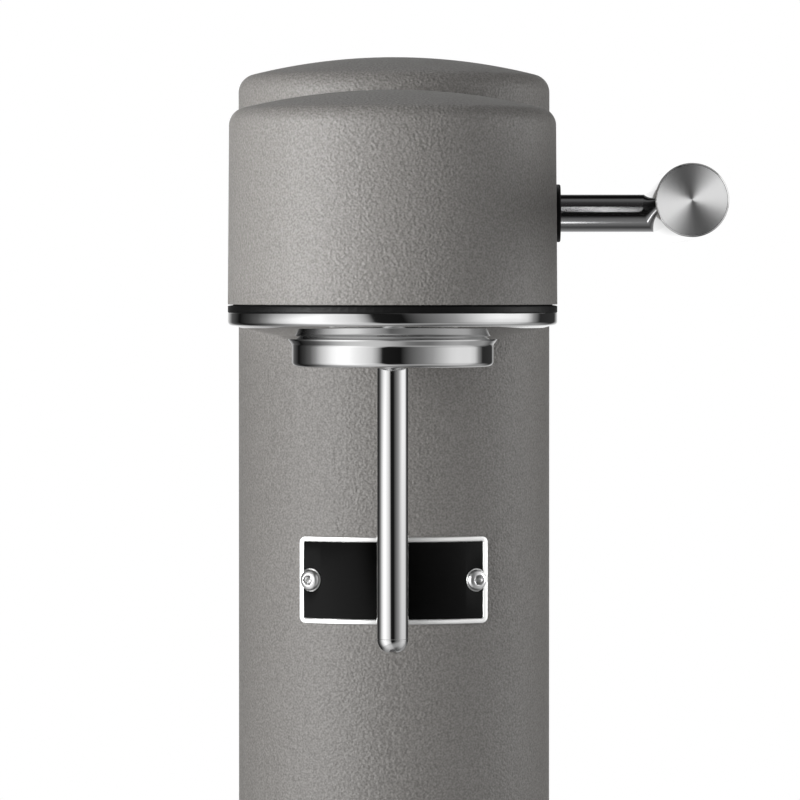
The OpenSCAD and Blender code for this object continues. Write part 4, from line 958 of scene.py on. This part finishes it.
def flat_plate(half, half_height, corner, back, front):
    """A flat plate with rounded corners, between two depths towards the viewer."""
    bm = bmesh.new()
    outline = (-half, -half_height), (half, -half_height), (half, half_height), (-half, half_height)
    bm.faces.new([bm.verts.new((x, -back, z)) for x, z in outline])
    bmesh.ops.bevel(bm, geom=bm.verts[:], offset=corner, offset_type="OFFSET", segments=8,
                    profile=0.5, affect="VERTICES", material=-1)
    grown = bmesh.ops.extrude_face_region(bm, geom=bm.faces[:])["geom"]
    front_verts = [g for g in grown if isinstance(g, bmesh.types.BMVert)]
    bmesh.ops.translate(bm, vec=(0, back - front, 0), verts=front_verts)
    return solid(bm, "flat_plate")


def field_plate(play, back, front):
    """The field's outline, which leaves a round land at each screw."""
    plate = flat_plate(badge_half - badge_border - play, badge_half_height - badge_border - play,
                       field_corner, back, front)
    # Narrower while flat, so that each land is round on the curved plate
    squeeze = cos(asin(screw_gap / 2 / (column_half + badge_thickness)))
    land = Matrix.Diagonal((squeeze, 1, 1, 1)) @ along_y
    for x in (-screw_gap / 2, screw_gap / 2):
        cut(plate, bar(land_radius + play, -land_reach, land_reach, land, (x, 0, 0), segments=64))
    return plate


def curve_to_column(piece, name, edge_break):
    """Rounds a flat piece's front edges, slices it and lays it round the column's front."""
    bm = bmesh.new()
    bm.from_mesh(piece.data)
    bmesh.ops.dissolve_limit(bm, angle_limit=radians(1), verts=bm.verts[:], edges=bm.edges[:])
    front = min(v.co.y for v in bm.verts)
    rims = [
        e for e in bm.edges
        if max(v.co.y for v in e.verts) < front + 0.01 * mm and e.is_manifold
        and e.calc_face_angle() > radians(40)
    ]
    bmesh.ops.bevel(bm, geom=rims, offset=edge_break, offset_type="OFFSET", segments=3, profile=0.5,
                    affect="EDGES", material=-1)
    for i in range(1, slices):
        bmesh.ops.bisect_plane(
            bm, geom=bm.verts[:] + bm.edges[:] + bm.faces[:], dist=0.001 * mm,
            plane_co=(badge_half * (2 * i / slices - 1), 0, 0), plane_no=(1, 0, 0),
        )
    for vert in bm.verts:
        radius = column_half + badge_play - vert.co.y
        vert.co.y = column_front - sqrt(radius ** 2 - vert.co.x ** 2)
        vert.co.z += badge_middle
    bpy.data.objects.remove(piece)
    return solid(bm, name)


satin_plate, _ = mottled(
    "satin_plate", dark=(0.92, 0.92, 0.91), light=(0.97, 0.97, 0.96),
    smoothest=0.4, roughest=0.5, patch=8 * mm, cell=0.3 * mm, depth=0.004 * mm, metallic=1.0,
)
black_enamel, enamel_shader = mottled(
    "black_enamel", dark=(0.002, 0.002, 0.002), light=(0.004, 0.004, 0.004),
    smoothest=0.16, roughest=0.24, patch=8 * mm, cell=0.4 * mm, depth=0.003 * mm,
)
enamel_shader.inputs["Specular IOR Level"].default_value = 0.2
plate = flat_plate(badge_half, badge_half_height, badge_corner, 0, badge_thickness)
cut(plate, field_plate(0, field_floor, 2 * badge_thickness))
stamped = matt(curve_to_column(plate, "badge_stamped", badge_edge))
badge_surface.objects.link(stamped)
stand_in(stamped, satin_plate, "badge_plate")
enamel = field_plate(enamel_play, field_floor, field_floor + enamel_thickness)
stand_in(curve_to_column(enamel, "badge_enamel", enamel_edge), black_enamel, "badge_inlay")
screw_metal = polished("screw_metal", (0.9, 0.9, 0.9), smoothest=0.28, roughest=0.36)
stand_in(matt(merged_copy("badge_screws")), screw_metal, "badge_screws")

# Inside
# The valve train and what feeds it: machined brass valves and bushes, drawn wire for the spring
# and pins, an aluminium gas cylinder and a moulded red relief cap.
brass, _ = mottled(
    "brass", dark=(0.55, 0.38, 0.14), light=(0.72, 0.52, 0.24),
    smoothest=0.18, roughest=0.32, patch=7 * mm, cell=0.4 * mm, depth=0.006 * mm, metallic=1.0,
)
drawn_aluminium, _ = mottled(
    "drawn_aluminium", dark=(0.58, 0.6, 0.63), light=(0.72, 0.74, 0.77),
    smoothest=0.28, roughest=0.42, patch=18 * mm, cell=0.5 * mm, depth=0.01 * mm, metallic=1.0,
)
red_plastic, _ = mottled(
    "red_plastic", dark=(0.2, 0.012, 0.01), light=(0.28, 0.02, 0.015),
    smoothest=0.35, roughest=0.5, patch=5 * mm, cell=0.3 * mm, depth=0.02 * mm,
)
dress(brass, "valve_block", "valve_plunger", "cylinder_valve", "hose_outlet", "hose_inlet",
      "relief_valve", "bush_outer", "bush_inner")
spring_wire = polished("spring_wire", (0.42, 0.42, 0.44), smoothest=0.2, roughest=0.3)
dress(spring_wire, "return_spring", "cam_pin", "pin_clips")
dress(drawn_aluminium, "gas_cylinder")
dress(red_plastic, "relief_cap")
